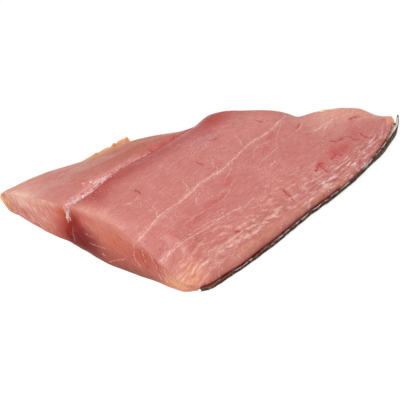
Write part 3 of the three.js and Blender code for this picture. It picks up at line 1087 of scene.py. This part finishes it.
def line_group():
    """A long line along the fish that fades out at both ends, in millimetres."""
    tree = bpy.data.node_groups.new("long_line", "ShaderNodeTree")
    ports = {
        "Place": "Vector", "Line": "Float", "Start": "Float", "End": "Float",
        "Half Width": "Float",
    }
    add_ports(tree, ports, {"Mask": "Float"})
    given = add(tree, "NodeGroupInput").outputs
    place = add(tree, "ShaderNodeSeparateXYZ", {0: given["Place"]}).outputs
    apart = add(tree, "ShaderNodeMath", {0: place["Y"], 1: given["Line"]}, operation="SUBTRACT")
    size = add(tree, "ShaderNodeMath", {0: apart}, operation="ABSOLUTE")
    since = add(tree, "ShaderNodeMath", {0: place["X"], 1: given["Start"]}, operation="SUBTRACT")
    until = add(tree, "ShaderNodeMath", {0: given["End"], 1: place["X"]}, operation="SUBTRACT")
    inside = add(tree, "ShaderNodeMath", {0: since, 1: until}, operation="MINIMUM")
    mask = mask_where(tree, (size, given["Half Width"], 0.0), (inside, 0.0, 6.0))
    add(tree, "NodeGroupOutput", {"Mask": mask})
    return tree


STREAK = streak_group()
LINE = line_group()


def streaks(tree, place, segments, half_width):
    """The union of streaks between pairs of places."""
    union = None
    for start, end in segments:
        streak = add(tree, "ShaderNodeGroup", {
            "Place": place, "Start": (*start, 0), "End": (*end, 0), "Half Width": half_width,
        }, node_tree=STREAK)
        union = streak if union is None else add(
            tree, "ShaderNodeMath", {0: union, 1: streak}, operation="MAXIMUM",
        )
    return union


def long_line(tree, place, along, points, half_width):
    """A line through points (x, y) along the fish."""
    line = add(tree, "ShaderNodeFloatCurve", {"Value": along})
    shape = line.mapping.curves[0]
    for i, (x, y) in enumerate(points):
        spot = (x / LENGTH, y / WIDTH)
        if i < 2:
            shape.points[i].location = spot
        else:
            shape.points.new(*spot)
    line.mapping.update()
    across = add(tree, "ShaderNodeMath", {0: line, 1: WIDTH}, operation="MULTIPLY")
    return add(tree, "ShaderNodeGroup", {
        "Place": place, "Line": across, "Start": points[0][0], "End": points[-1][0],
        "Half Width": half_width,
    }, node_tree=LINE)


# White sheets of tissue between the muscle blocks, which show as lines: half width, strength,
# and points in x and y.  The broad faint one is the sheet seen through the flesh beside it.
LONG_LINES = [
    (0.6, 0.75, [
        (8, 56), (16.5, 53), (24.5, 53.5), (43, 55.5), (51.5, 54.5), (63.5, 54.5), (75.5, 56.5),
        (95, 55.5), (107.5, 57), (121, 59), (136, 62), (149, 61.5), (159.5, 62), (174, 65),
        (189, 67.5),
    ]),
    (2.6, 0.22, [
        (8, 56), (24, 53.5), (52, 54.5), (76, 56.5), (95, 55.5), (136, 62), (159, 62), (189, 67.5),
    ]),
    (0.6, 0.3, [(40, 40), (54.5, 39), (65, 38), (78.5, 38), (90, 42), (96, 47)]),
    (0.55, 0.4, [(86, 45), (90.5, 47.5), (100, 51), (107.5, 55.5), (112, 58)]),
    (0.55, 0.45, [(114, 46.5), (117, 47.5), (126, 51), (136, 56), (144, 53.5), (150, 53)]),
    (0.55, 0.45, [(122, 44), (138, 44.5), (145, 45.5), (151.5, 51), (167.5, 59.5), (177, 64)]),
    (0.8, 0.45, [
        (12, 38.5), (23.5, 35), (33, 32), (44.5, 30), (56.5, 29), (66.5, 28.5), (84, 26.5),
    ]),
    (0.6, 0.4, [(16, 38.5), (34.5, 33.5), (49, 31.5), (62, 30)]),
    (0.7, 0.4, [(14, 27.5), (22.5, 26), (30, 23)]),
    (0.7, 0.45, [(50, 17.5), (58.5, 16), (65.5, 15.5), (78, 14)]),
    (0.8, 0.8, [(176, 43), (182, 40.5), (195.5, 41), (209, 42.5), (215, 43)]),
    (0.8, 0.8, [(187, 36), (192, 37.5), (200.5, 40), (209, 41)]),
    (0.7, 0.5, [(14, 159), (18, 158), (28.5, 154.5), (39.5, 153), (50, 150)]),
    (0.6, 0.45, [(30, 146), (46, 145), (62, 141), (80, 138)]),
]
# Short white branches: start and end.
WHITE_STREAKS = [
    ((33, 55), (37, 60.5)), ((37, 60.5), (38.5, 63.5)), ((37, 60.5), (34, 63)),
    ((65, 56), (70.5, 66)), ((63, 56), (66, 60)), ((96, 61.5), (103, 69)),
    ((130, 64.5), (134, 69.5)), ((134, 69.5), (137, 76)), ((91, 54), (97, 60)),
    ((28, 79), (33, 77)), ((104, 86), (109, 84)), ((82.5, 25.5), (94.5, 26)),
    ((124, 36), (133, 38)), ((60, 46), (63, 49)), ((171.5, 48), (182, 50)),
    ((221, 33.5), (228, 30.5)), ((228, 30.5), (235.5, 27.5)),
]
# Blood vessels, crimson where they lie bare.
VESSELS = [
    ((116.5, 19.5), (117, 15)), ((117, 15), (117, 10.5)), ((149.5, 15.5), (155.5, 18)),
    ((155.5, 18), (160, 17)), ((155.5, 18), (157.5, 11.5)), ((168.5, 16), (177, 16.5)),
    ((177, 16.5), (179.5, 14)), ((202.5, 23), (202.5, 19.5)), ((202.5, 19.5), (206, 16.5)),
    ((214, 21), (214, 15.5)), ((214, 15.5), (216, 13.5)), ((64, 18), (66.5, 17)),
    ((93, 73.5), (93, 68.5)), ((44.5, 84), (43.5, 79.5)), ((119, 84), (125.5, 82)),
    ((190, 24), (196, 24)), ((162.5, 78), (164, 73)), ((175.5, 50), (181.5, 52.5)),
    ((220, 34.5), (224, 34.5)), ((225, 34), (227.5, 33)), ((184, 27), (187, 24)),
]
# Red bruises under the surface.
BRUISES = [
    ((43, 37), (59, 38.5)), ((59, 38.5), (80.5, 39.5)), ((88, 45), (94, 47)),
    ((150, 56), (156, 58)), ((133, 48), (139, 50)), ((176, 19), (190, 17)),
    ((155, 17), (160, 17)), ((121, 93), (128, 93)), ((222, 34), (228, 33)),
]
# Dark clots, hardly longer than wide.
DARK_DOTS = [
    ((15.5, 124), (16, 124)), ((103.5, 68.5), (104.5, 69)), ((15.5, 50), (16, 50)),
    ((107.5, 83.5), (109.5, 84)), ((19, 41), (19.5, 41)), ((42.5, 85), (43, 83)),
]
# Streaks on the cut face, as y and z of start and end: white threads, the pale foot of the
# crease, and red vessels.
CUT_WHITES = [
    ((92.5, 13), (86, 13.5)), ((89, 8), (82, 9)), ((82, 9), (76, 10.5)), ((77.5, 5.5), (75, 5)),
    ((71.5, 2), (66, 5)), ((66, 5), (61, 8.5)), ((56, 22.5), (54.5, 11.5)),
    ((54.5, 11.5), (49, 6.5)), ((44, 18), (39.5, 12)), ((39.5, 12), (35.5, 2.5)),
    ((33.5, 11), (31, 3)), ((110.5, 21), (109.5, 15.5)), ((50, 19), (46, 10)),
]
CREASE_FOOT = [((105, 11.5), (104, 6)), ((104, 6), (102.5, 2.5))]
CUT_REDS = [((50, 17), (45, 8)), ((40, 15), (37, 7)), ((112, 18), (106.5, 6))]


def lay(tree, below, colour, strength, *conditions):
    """Lays a colour over what is below, where all conditions hold."""
    factor = mask_where(tree, *conditions, strength)
    mixed = add(
        tree, "ShaderNodeMix", {0: factor, 6: below, 7: linear(colour)}, data_type="RGBA",
    )
    return mixed.outputs[2]


def shade(tree, below, value, middle, amount):
    """Pales what is below where the value is over the middle, and reddens it where under."""
    over = add(tree, "ShaderNodeMath", {0: value, 1: middle}, operation="SUBTRACT").outputs[0]
    by = (amount / 3, amount, 1.15 * amount)
    factor = add(
        tree, "ShaderNodeVectorMath", {0: over, 1: by, 2: (1, 1, 1)}, operation="MULTIPLY_ADD",
    )
    return add(
        tree, "ShaderNodeVectorMath", {0: below, 1: factor}, operation="MULTIPLY",
    ).outputs[0]


def muscle_patterns(tree):
    """What the layers of the muscle read: places in millimetres, attributes and patterns."""
    object_place = add(tree, "ShaderNodeTexCoord").outputs["Object"]
    # Object coordinates in millimetres in the fillet frame.
    origin = (MIDDLE[0], MIDDLE[1], 0)
    place = add(
        tree, "ShaderNodeVectorMath", {0: object_place, 1: (1000, 1000, 1000), 2: origin},
        operation="MULTIPLY_ADD",
    )
    # Drawn lines waver by a millimetre or so, every 4 mm.
    noise = add(tree, "ShaderNodeTexNoise", {"Vector": place, "Scale": 0.28, "Detail": 3})
    centred = add(
        tree, "ShaderNodeVectorMath", {0: noise.outputs["Color"], 1: (0.5, 0.5, 0.5)},
        operation="SUBTRACT",
    )
    wobble = add(
        tree, "ShaderNodeVectorMath", {0: centred, 1: (2.6, 2.6, 2.6), 2: place},
        operation="MULTIPLY_ADD",
    )
    x, y, z = add(tree, "ShaderNodeSeparateXYZ", {0: wobble}).outputs
    along = add(tree, "ShaderNodeMath", {0: x, 1: LENGTH}, operation="DIVIDE")
    flat = add(tree, "ShaderNodeCombineXYZ", {"X": x, "Y": y})
    upright = add(tree, "ShaderNodeCombineXYZ", {"X": y, "Y": z})
    on_cut = add(tree, "ShaderNodeAttribute", attribute_name="cut").outputs["Fac"]
    on_top = add(tree, "ShaderNodeMath", {0: 1.0, 1: on_cut}, operation="SUBTRACT")
    inward = add(tree, "ShaderNodeAttribute", attribute_name="inward").outputs["Fac"]
    tint = add(tree, "ShaderNodeAttribute", attribute_name="tint").outputs["Color"]
    # Grain along the fibres: nearly along the fish on top, and slanting down the cut face.
    along_top = add(
        tree, "ShaderNodeMapping",
        {"Vector": flat, "Rotation": (0, 0, math.radians(-4)), "Scale": (5, 1.2, 1)},
        vector_type="TEXTURE",
    )
    down_cut = add(
        tree, "ShaderNodeMapping",
        {"Vector": upright, "Rotation": (0, 0, math.radians(30)), "Scale": (7, 0.7, 1)},
        vector_type="TEXTURE",
    )
    fibres = add(
        tree, "ShaderNodeMix", {0: on_cut, 4: along_top, 5: down_cut}, data_type="VECTOR",
    ).outputs[1]
    grain = add(
        tree, "ShaderNodeTexNoise",
        {"Vector": fibres, "Scale": 1.0, "Detail": 4, "Roughness": 0.65},
    )
    clouds = add(
        tree, "ShaderNodeTexNoise",
        {"Vector": fibres, "Scale": 0.36, "Detail": 5, "Roughness": 0.6},
    )
    # Crinkled membrane near the back, in folds 2.4 mm wide and 10 mm long.
    crinkled = add(
        tree, "ShaderNodeMapping",
        {"Vector": flat, "Rotation": (0, 0, math.radians(-10)), "Scale": (10, 2.4, 1)},
        vector_type="TEXTURE",
    )
    folds = add(
        tree, "ShaderNodeTexNoise",
        {"Vector": crinkled, "Scale": 1.0, "Detail": 5, "Roughness": 0.65},
    )
    membrane = mask_where(tree, (inward, 32.0, 12.0), (inward, 1.5, 4.0), on_top, (x, 190.0, 130.0))
    return SimpleNamespace(
        place=place, wobble=wobble, x=x, y=y, along=along, flat=flat, upright=upright,
        on_cut=on_cut, on_top=on_top, inward=inward, tint=tint, along_top=along_top, grain=grain,
        clouds=clouds, folds=folds, membrane=membrane,
    )


def flesh_layers(tree, muscle):
    """The flesh, clouded and grained, the membrane near the back with painted highlights, and the
    sinews.
    """
    colour = shade(tree, muscle.tint, muscle.clouds, 0.5, 0.6)
    colour = shade(tree, colour, muscle.grain, 0.5, 1.1)
    colour = lay(tree, colour, "#b8605e", 0.25, (muscle.clouds, 0.42, 0.26), muscle.on_top)
    # Pale crests and darker troughs on the folds of the membrane; the pale crests are partly its
    # own colour, partly painted highlights.
    colour = lay(tree, colour, "#ecc4b0", 0.48, (muscle.folds, 0.5, 0.66), muscle.membrane)
    colour = lay(tree, colour, "#ac5a52", 0.4, (muscle.folds, 0.46, 0.34), muscle.membrane)
    # A painted highlight along the edge where the top turns down to the back wall, broken up by the
    # folds.
    colour = lay(
        tree, colour, MEMBRANE_AND_HIGHLIGHT_WHITE, 0.4, (muscle.inward, 4.5, 7.5), (muscle.inward, 12.0, 8.5),
        (muscle.x, 130.0, 80.0), (muscle.folds, 0.4, 0.6), muscle.on_top,
    )
    # Sinewy stripes along the skin towards the far tip, 1.4 mm wide and seven times as long.
    slow_x = add(tree, "ShaderNodeMath", {0: muscle.x, 1: 0.14}, operation="MULTIPLY")
    sinews = add(tree, "ShaderNodeTexNoise", {
        "Vector": add(tree, "ShaderNodeCombineXYZ", {"X": slow_x, "Y": muscle.inward}),
        "Scale": 0.7, "Detail": 5, "Roughness": 0.7, "Distortion": 0.5,
    })
    sinewy = mask_where(
        tree, (muscle.x, 100.0, 150.0), (muscle.x, 255.0, 215.0), (muscle.inward, 15.0, 7.0),
        muscle.on_top,
    )
    colour = lay(tree, colour, "#ead0d0", 0.85, (sinews, 0.52, 0.64), sinewy)
    return lay(tree, colour, "#9c3c44", 0.75, (sinews, 0.46, 0.34), sinewy)


def cut_layers(tree, muscle, colour):
    """Fibres of the cut face: pale torn ones, thickest at the belly, and red ones in the dark."""
    grain, on_cut = muscle.grain, muscle.on_cut
    bright = mask_where(tree, (muscle.tint, 0.15, 0.5))
    colour = lay(tree, colour, MEMBRANE_AND_HIGHLIGHT, 0.55, (grain, 0.54, 0.64), on_cut, bright)
    colour = lay(
        tree, colour, MEMBRANE_AND_HIGHLIGHT_WHITE, 0.4, (grain, 0.5, 0.58), on_cut, (muscle.y, 114.0, 130.0),
    )
    colour = lay(tree, colour, "#8c2c26", 0.3, (grain, 0.46, 0.36), on_cut)
    return lay(
        tree, colour, "#b02c2a", 0.35, (muscle.clouds, 0.5, 0.6), on_cut, (muscle.tint, 0.1, 0.03),
    )


def drawn_layers(tree, muscle, colour):
    """Bruises and veins under the surface, the white sheets over them, and bare vessels on top."""
    flat, upright, on_top, on_cut = muscle.flat, muscle.upright, muscle.on_top, muscle.on_cut
    # The white lines are broken up about every 2 mm.
    breaks = add(
        tree, "ShaderNodeTexNoise",
        {"Vector": muscle.place, "Scale": 0.5, "Detail": 3, "Roughness": 0.7},
    )
    broken = mask_where(tree, (breaks, 0.34, 0.6))
    colour = lay(tree, colour, BRUISE_RED, 0.42, streaks(tree, flat, BRUISES, 4.0), on_top)
    colour = lay(tree, colour, BRUISE_RED, 0.3, streaks(tree, flat, VESSELS, 2.2), on_top)
    for half_width, strength, points in LONG_LINES:
        line = long_line(tree, muscle.wobble, muscle.along, points, half_width)
        colour = lay(tree, colour, MEMBRANE_AND_HIGHLIGHT_WHITE, strength, line, broken, on_top)
    branches = streaks(tree, flat, WHITE_STREAKS, 0.55)
    colour = lay(tree, colour, MEMBRANE_AND_HIGHLIGHT_WHITE, 0.55, branches, broken, on_top)
    colour = lay(tree, colour, "#a8222c", 0.9, streaks(tree, flat, VESSELS, 0.7), on_top)
    colour = lay(tree, colour, "#5a3a30", 0.7, streaks(tree, flat, DARK_DOTS, 0.6), on_top)
    colour = lay(tree, colour, DEEP_RED, 0.45, streaks(tree, upright, CUT_REDS, 2.2), on_cut)
    # The threads on the cut are beaded, with 0.6 mm to a bead.
    beads = add(
        tree, "ShaderNodeTexNoise",
        {"Vector": muscle.place, "Scale": 1.6, "Detail": 2, "Roughness": 0.5},
    )
    threads = streaks(tree, upright, CUT_WHITES, 0.6)
    colour = lay(tree, colour, MEMBRANE_AND_HIGHLIGHT_WHITE, 0.52, threads, (beads, 0.42, 0.56), on_cut)
    return lay(tree, colour, "#b27a64", 0.6, streaks(tree, upright, CREASE_FOOT, 1.0), on_cut)


def fleck_layer(tree, muscle, colour):
    """Pale flecks 0.4 mm wide on top, gathered in loose groups 11 mm across: partly specks of white
    tissue, partly painted glints of the wet surface.
    """
    flecks = add(
        tree, "ShaderNodeTexNoise",
        {"Vector": muscle.along_top, "Scale": 3.2, "Detail": 3, "Roughness": 0.6},
    )
    groups = add(
        tree, "ShaderNodeTexNoise",
        {"Vector": muscle.place, "Scale": 0.09, "Detail": 2, "Roughness": 0.5},
    )
    return lay(
        tree, colour, "#f6dcd2", 0.8, (flecks, 0.58, 0.68), (groups, 0.44, 0.62), muscle.on_top,
    )


def muscle_bump(tree, muscle):
    """Bumps of the grain, of the folds of the membrane, and of 0.8 mm all over."""
    fine = add(
        tree, "ShaderNodeTexNoise",
        {"Vector": muscle.wobble, "Scale": 1.3, "Detail": 3, "Roughness": 0.6},
    )
    folded = mask_where(tree, muscle.folds, muscle.membrane)
    raised = add(tree, "ShaderNodeMath", {0: folded, 1: 3.5, 2: fine}, operation="MULTIPLY_ADD")
    height = add(
        tree, "ShaderNodeMath", {0: muscle.grain, 1: 0.8, 2: raised}, operation="MULTIPLY_ADD",
    )
    return add(tree, "ShaderNodeBump", {"Strength": 0.4, "Distance": 0.0005, "Height": height})


def muscle_material():
    """Raw mahi-mahi muscle, sliced with a knife and pulled clear of its membranes.

    It is wet and slightly see-through, so its pinks are soft-edged and only its grain and creases
    glint.  Pattern sizes are in millimetres.  Real muscle fibres are 0.1 to 0.3 mm wide, too fine
    to show, so the grain is drawn 1.2 mm wide and 5 mm long on top, and finer on the cut.
    """
    material = new_material("raw_fish_muscle")
    tree = material.node_tree
    muscle = muscle_patterns(tree)
    # Each layer is added right after its mask, which keeps the shader's working store small.
    colour = flesh_layers(tree, muscle)
    colour = cut_layers(tree, muscle, colour)
    colour = drawn_layers(tree, muscle, colour)
    colour = fleck_layer(tree, muscle, colour)
    surface = add(tree, "ShaderNodeBsdfPrincipled", {
        "Base Color": colour, "Roughness": 0.32, "Normal": muscle_bump(tree, muscle),
        "Specular IOR Level": 0.08, "Subsurface Weight": 0.2, "Subsurface Radius": (1, 0.4, 0.25),
        "Subsurface Scale": 0.002, "Coat Weight": 0.1, "Coat Roughness": 0.1,
    })
    add(tree, "ShaderNodeOutputMaterial", {"Surface": surface})
    return material


def skin_material():
    """Mahi-mahi skin, torn loose at its edges and wet.

    Outside it is nearly black along the back and golden on the belly, with specks the size of its
    2 mm scales.  Inside it is pearly, with blood-brown blotches 8 mm across.
    """
    material = new_material("wet_fish_skin")
    tree = material.node_tree
    # In metres: 480 specks to a metre are 2.1 mm apart, and 130 blotches 7.7 mm.
    place = add(tree, "ShaderNodeTexCoord").outputs["Object"]
    belly = add(tree, "ShaderNodeAttribute", attribute_name="belly").outputs["Fac"]
    inner = add(tree, "ShaderNodeAttribute", attribute_name="inner").outputs["Fac"]
    specks = add(
        tree, "ShaderNodeTexNoise",
        {"Vector": place, "Scale": 480, "Detail": 4, "Roughness": 0.65},
    )
    blotches = add(tree, "ShaderNodeTexNoise", {"Vector": place, "Scale": 130, "Detail": 3})

    def over(value, low, high, below, above):
        """Lays one colour over another as the value passes from low to high."""
        factor = mask_where(tree, (value, low, high))
        above = linear(above) if isinstance(above, str) else above
        below = linear(below) if isinstance(below, str) else below
        return add(
            tree, "ShaderNodeMix", {0: factor, 6: below, 7: above}, data_type="RGBA",
        ).outputs[2]

    dark = over(specks, 0.5, 0.66, "#332a1c", "#756746")
    gold = over(blotches, 0.4, 0.65, "#d29a70", "#dcae86")
    # Clean white near the far tip, dark at its very end, and red-brown at the corner by the cut,
    # by metres along the fish from the middle.
    along = add(tree, "ShaderNodeSeparateXYZ", {0: place}).outputs["X"]
    pearl = over(blotches, 0.44, 0.54, "#87443f", "#d6c8c2")
    pearl = over(along, 0.1, 0.11, pearl, "#e3d2c8")
    pearl = over(along, 0.1235, 0.1255, pearl, "#3a3020")
    pearl = over(along, -0.09, -0.098, pearl, "#96523e")
    outside = over(belly, 0.25, 0.75, dark, gold)
    outside = over(along, -0.104, -0.114, outside, "#6a3a2c")
    golden_inside = over(blotches, 0.35, 0.6, "#dc9868", "#e6b088")
    inside = over(belly, 0.5, 0.8, pearl, golden_inside)
    colour = over(inner, 0.4, 0.6, outside, inside)
    bump = add(tree, "ShaderNodeBump", {"Strength": 0.5, "Distance": 0.0004, "Height": specks})
    surface = add(tree, "ShaderNodeBsdfPrincipled", {
        "Base Color": colour, "Roughness": 0.45, "Normal": bump, "Specular IOR Level": 0.1,
    })
    add(tree, "ShaderNodeOutputMaterial", {"Surface": surface})
    return material


flesh.data.materials.append(muscle_material())
skin.data.materials.append(skin_material())

# Connective tissue, torn apart and wet: soft threads that light goes into, with small glints.
TORN = {"Subsurface_Weight": 0.3, "Subsurface_Scale": 0.001, "Coat_Weight": 0.4}
white_tissue = simple("white_connective_tissue", "#e8c0be", 0.35, **TORN)
torn_tissue = simple("peach_connective_tissue", "#e0a896", 0.35, **TORN)
pink_tissue = simple("pink_connective_tissue", "#dc8f88", 0.35, **TORN)
# Dark muscle, torn and bloody: wetter, and light goes less far into it.
red_tissue = simple(
    "torn_dark_muscle", "#bf4648", 0.3, Subsurface_Weight=0.2, Subsurface_Scale=0.001,
    Coat_Weight=0.5,
)
# Dark muscle that dried on the skin: dull and deep red.
maroon_tissue = simple("dried_dark_muscle", "#7c3234", 0.4)
# Silver lining of the skin, pulled into threads: pale, smooth and wet.
pearly_tissue = simple("silver_skin_lining", "#dcc8c4", 0.3, Coat_Weight=0.3)
# Fat under the skin, smeared by the knife: waxy, light goes well into it.
peach_fat = simple(
    "soft_fish_fat", "#ecb898", 0.35, Subsurface_Weight=0.3, Subsurface_Scale=0.002,
    Coat_Weight=0.3,
)

# ---- tissue pieces -----------------------------------------------------------------------

STRANDS = strand_tree()
FLECKS = fleck_tree()


def seam_path(start, end, share, aside=0):
    """A path along the seam's tissue, over a share of its width, and set aside to the loin."""
    x = np.linspace(start, end, 60)
    y = tissue_line(x) - aside * tissue_width(x) + 1.2 * lumps(x, 0 * x, 9, 1, 54)
    widths = share * tissue_width(x) * (0.8 + 0.4 * lumps(x, 0 * x, 6, 1, 55))
    return path_mesh("seam_path", over_flesh(x, y, 0), widths)


def back_path(start, end, width, seed):
    """A path along the skin's turned-up lip, in stretches of wider and narrower tissue."""
    x = np.linspace(start, end, 120)
    y = back_line(x) + 1.7
    widths = width * (0.6 + 0.4 * lumps(x, 0 * x, 9, 1, seed))
    return path_mesh("back_path", np.stack([x, y, lift(x, y)], -1), widths)


def edge_path(start, end, inset, width):
    """A path along the far edge, from one y to another."""
    y = np.linspace(start, end, 40)
    x = flesh_end(y) - inset
    return path_mesh("edge_path", over_flesh(x, y, 0), np.full(40, width))


def seam_flecks(middle, spread, count, above, seed):
    """Points scattered along the seam's tissue."""
    random = np.random.default_rng(seed)
    x = np.clip(random.normal(middle, spread, count), *TISSUE_ENDS)
    y = tissue_line(x) + 0.5 * tissue_width(x) * random.normal(0, 1, count)
    return fleck_points("seam_flecks", over_flesh(x, y, above), seed)


def notch_flecks(count, seed):
    """Points down the crease in the cut face."""
    random = np.random.default_rng(seed)
    z = random.uniform(15, 24.5, count)
    y = crease(z) + random.normal(0, 1.2, count)
    x = knife_cut(y) + math.tan(CUT_LEAN) * z + 0.8
    return fleck_points("notch_flecks", np.stack([x, y, z], -1), seed, upright=True)


# Sizes in metres; a strand's lumps are counted along a metre.
pieces = [
    grow("notch_flecks_peach", notch_flecks(36, 66), FLECKS, {
        "Fleck Size": (0.0013, 0.0007, 0.0004), "Roughening": 0.0008, "Material": torn_tissue,
    }),
    grow("seam_clump_pink", seam_flecks(9, 2.5, 40, 0.2, 65), FLECKS, {
        "Fleck Size": (0.0014, 0.0008, 0.0004), "Roughening": 0.0007, "Material": pink_tissue,
    }),
    grow("seam_tissue_pink", seam_path(9.5, 92, 0.7), STRANDS, {
        "Strands": 22, "Wander": 0.007, "Thickness": 0.0008, "Lumps": 300.0, "Surface": flesh,
        "Rise": -0.0001, "Seed": 1.0, "Material": pink_tissue,
    }),
    grow("seam_tissue_white", seam_path(7, 50, 0.45, 0.35), STRANDS, {
        "Strands": 9, "Wander": 0.006, "Thickness": 0.0005, "Lumps": 400.0, "Surface": flesh,
        "Rise": 0.0003, "Seed": 20.0, "Material": white_tissue,
    }),
    grow("seam_tissue_red", seam_path(14, 97, 0.7), STRANDS, {
        "Strands": 7, "Wander": 0.008, "Thickness": 0.0007, "Lumps": 300.0, "Surface": flesh,
        "Rise": 0.0001, "Seed": 40.0, "Material": red_tissue,
    }),
    grow("seam_flecks_pink", seam_flecks(40, 20, 150, 0.0, 61), FLECKS, {
        "Fleck Size": (0.0015, 0.0007, 0.0003), "Roughening": 0.0006, "Material": pink_tissue,
    }),
    grow("seam_flecks_white", seam_flecks(18, 5, 24, 0.2, 62), FLECKS, {
        "Fleck Size": (0.0014, 0.0007, 0.0003), "Roughening": 0.0006, "Material": white_tissue,
    }),
    grow("seam_clump_white", seam_flecks(40, 2.5, 16, 0.4, 64), FLECKS, {
        "Fleck Size": (0.0014, 0.0008, 0.0004), "Roughening": 0.0006, "Material": white_tissue,
    }),
    grow("rim_tissue_pearly", back_path(60, 244, 0.8, 51), STRANDS, {
        "Strands": 4, "Wander": 0.0022, "Thickness": 0.0005, "Lumps": 250.0, "Surface": skin,
        "Rise": 0.0003, "Seed": 80.0, "Material": pearly_tissue,
    }),
    grow("rim_tissue_maroon", back_path(24, 228, 0.9, 53), STRANDS, {
        "Strands": 5, "Wander": 0.0018, "Thickness": 0.0007, "Lumps": 250.0, "Surface": skin,
        "Rise": 0.0003, "Seed": 120.0, "Material": maroon_tissue,
    }),
    grow("edge_fat_peach", edge_path(57, 47, 5.5, 0.8), STRANDS, {
        "Strands": 5, "Wander": 0.004, "Thickness": 0.0011, "Lumps": 260.0, "Surface": flesh,
        "Rise": -0.0005, "Seed": 150.0, "Material": peach_fat,
    }),
]

for piece, node in ((flesh, "flesh"), (skin, "skin")):
    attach(piece, "root")
    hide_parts(node)
for piece in pieces:
    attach(piece, "root")

# ---- studio, in metres -------------------------------------------------------------------

FLOOR = 4  # half its side
SURROUNDINGS_STRENGTH = 0.43
VIEW_ELEVATION = math.radians(38)
VIEW_AZIMUTH = math.radians(-50)
VIEW_DISTANCE = 0.6257
VIEW_TARGET = Vector((-0.0494, -0.0248, 0.0114))
LENS = 84.7  # millimetres, on a sensor 36 mm wide

scene = bpy.context.scene
scene.view_settings.view_transform = "Standard"

floor_mesh = bpy.data.meshes.new("floor")
corners = [(-FLOOR, -FLOOR, 0), (FLOOR, -FLOOR, 0), (FLOOR, FLOOR, 0), (-FLOOR, FLOOR, 0)]
floor_mesh.from_pydata(corners, [], [(0, 1, 2, 3)])
floor = new_object("floor", floor_mesh)
# A white acrylic table, lit from below: it stays white and still takes a soft shadow.
floor.data.materials.append(simple(
    "lit_white_table", "#6a6a6a", 0.9, Emission_Color=(1, 1, 1, 1), Emission_Strength=0.86,
))

world = bpy.data.worlds.new("studio_white")
scene.world = world
world.use_nodes = True
background = world.node_tree.nodes["Background"]
background.inputs["Color"].default_value = (1, 1, 1, 1)
background.inputs["Strength"].default_value = SURROUNDINGS_STRENGTH


def direction(azimuth, elevation):
    """Points from the fillet towards this azimuth, counted from the front, and elevation."""
    return Vector((
        math.sin(azimuth) * math.cos(elevation),
        -math.cos(azimuth) * math.cos(elevation),
        math.sin(elevation),
    ))


def softbox(name, azimuth, elevation, distance, size, power):
    """A square light panel that faces the fillet; angles in degrees."""
    light = bpy.data.lights.new(name, "AREA")
    light.size = size
    light.energy = power
    panel = bpy.data.objects.new(name, light)
    away = direction(math.radians(azimuth), math.radians(elevation))
    panel.location = away * distance
    panel.rotation_euler = away.to_track_quat("Z", "Y").to_euler()
    scene.collection.objects.link(panel)


softbox("key_front", -65, 55, 1.2, 0.5, 8.8)
softbox("glint_behind", 130, 76, 1.2, 0.4, 3)

camera_data = bpy.data.cameras.new("camera")
camera_data.sensor_width = 36
camera_data.lens = LENS
camera = bpy.data.objects.new("camera", camera_data)
away = direction(VIEW_AZIMUTH, VIEW_ELEVATION)
camera.location = VIEW_TARGET + away * VIEW_DISTANCE
camera.rotation_euler = away.to_track_quat("Z", "Y").to_euler()
scene.collection.objects.link(camera)
scene.camera = camera
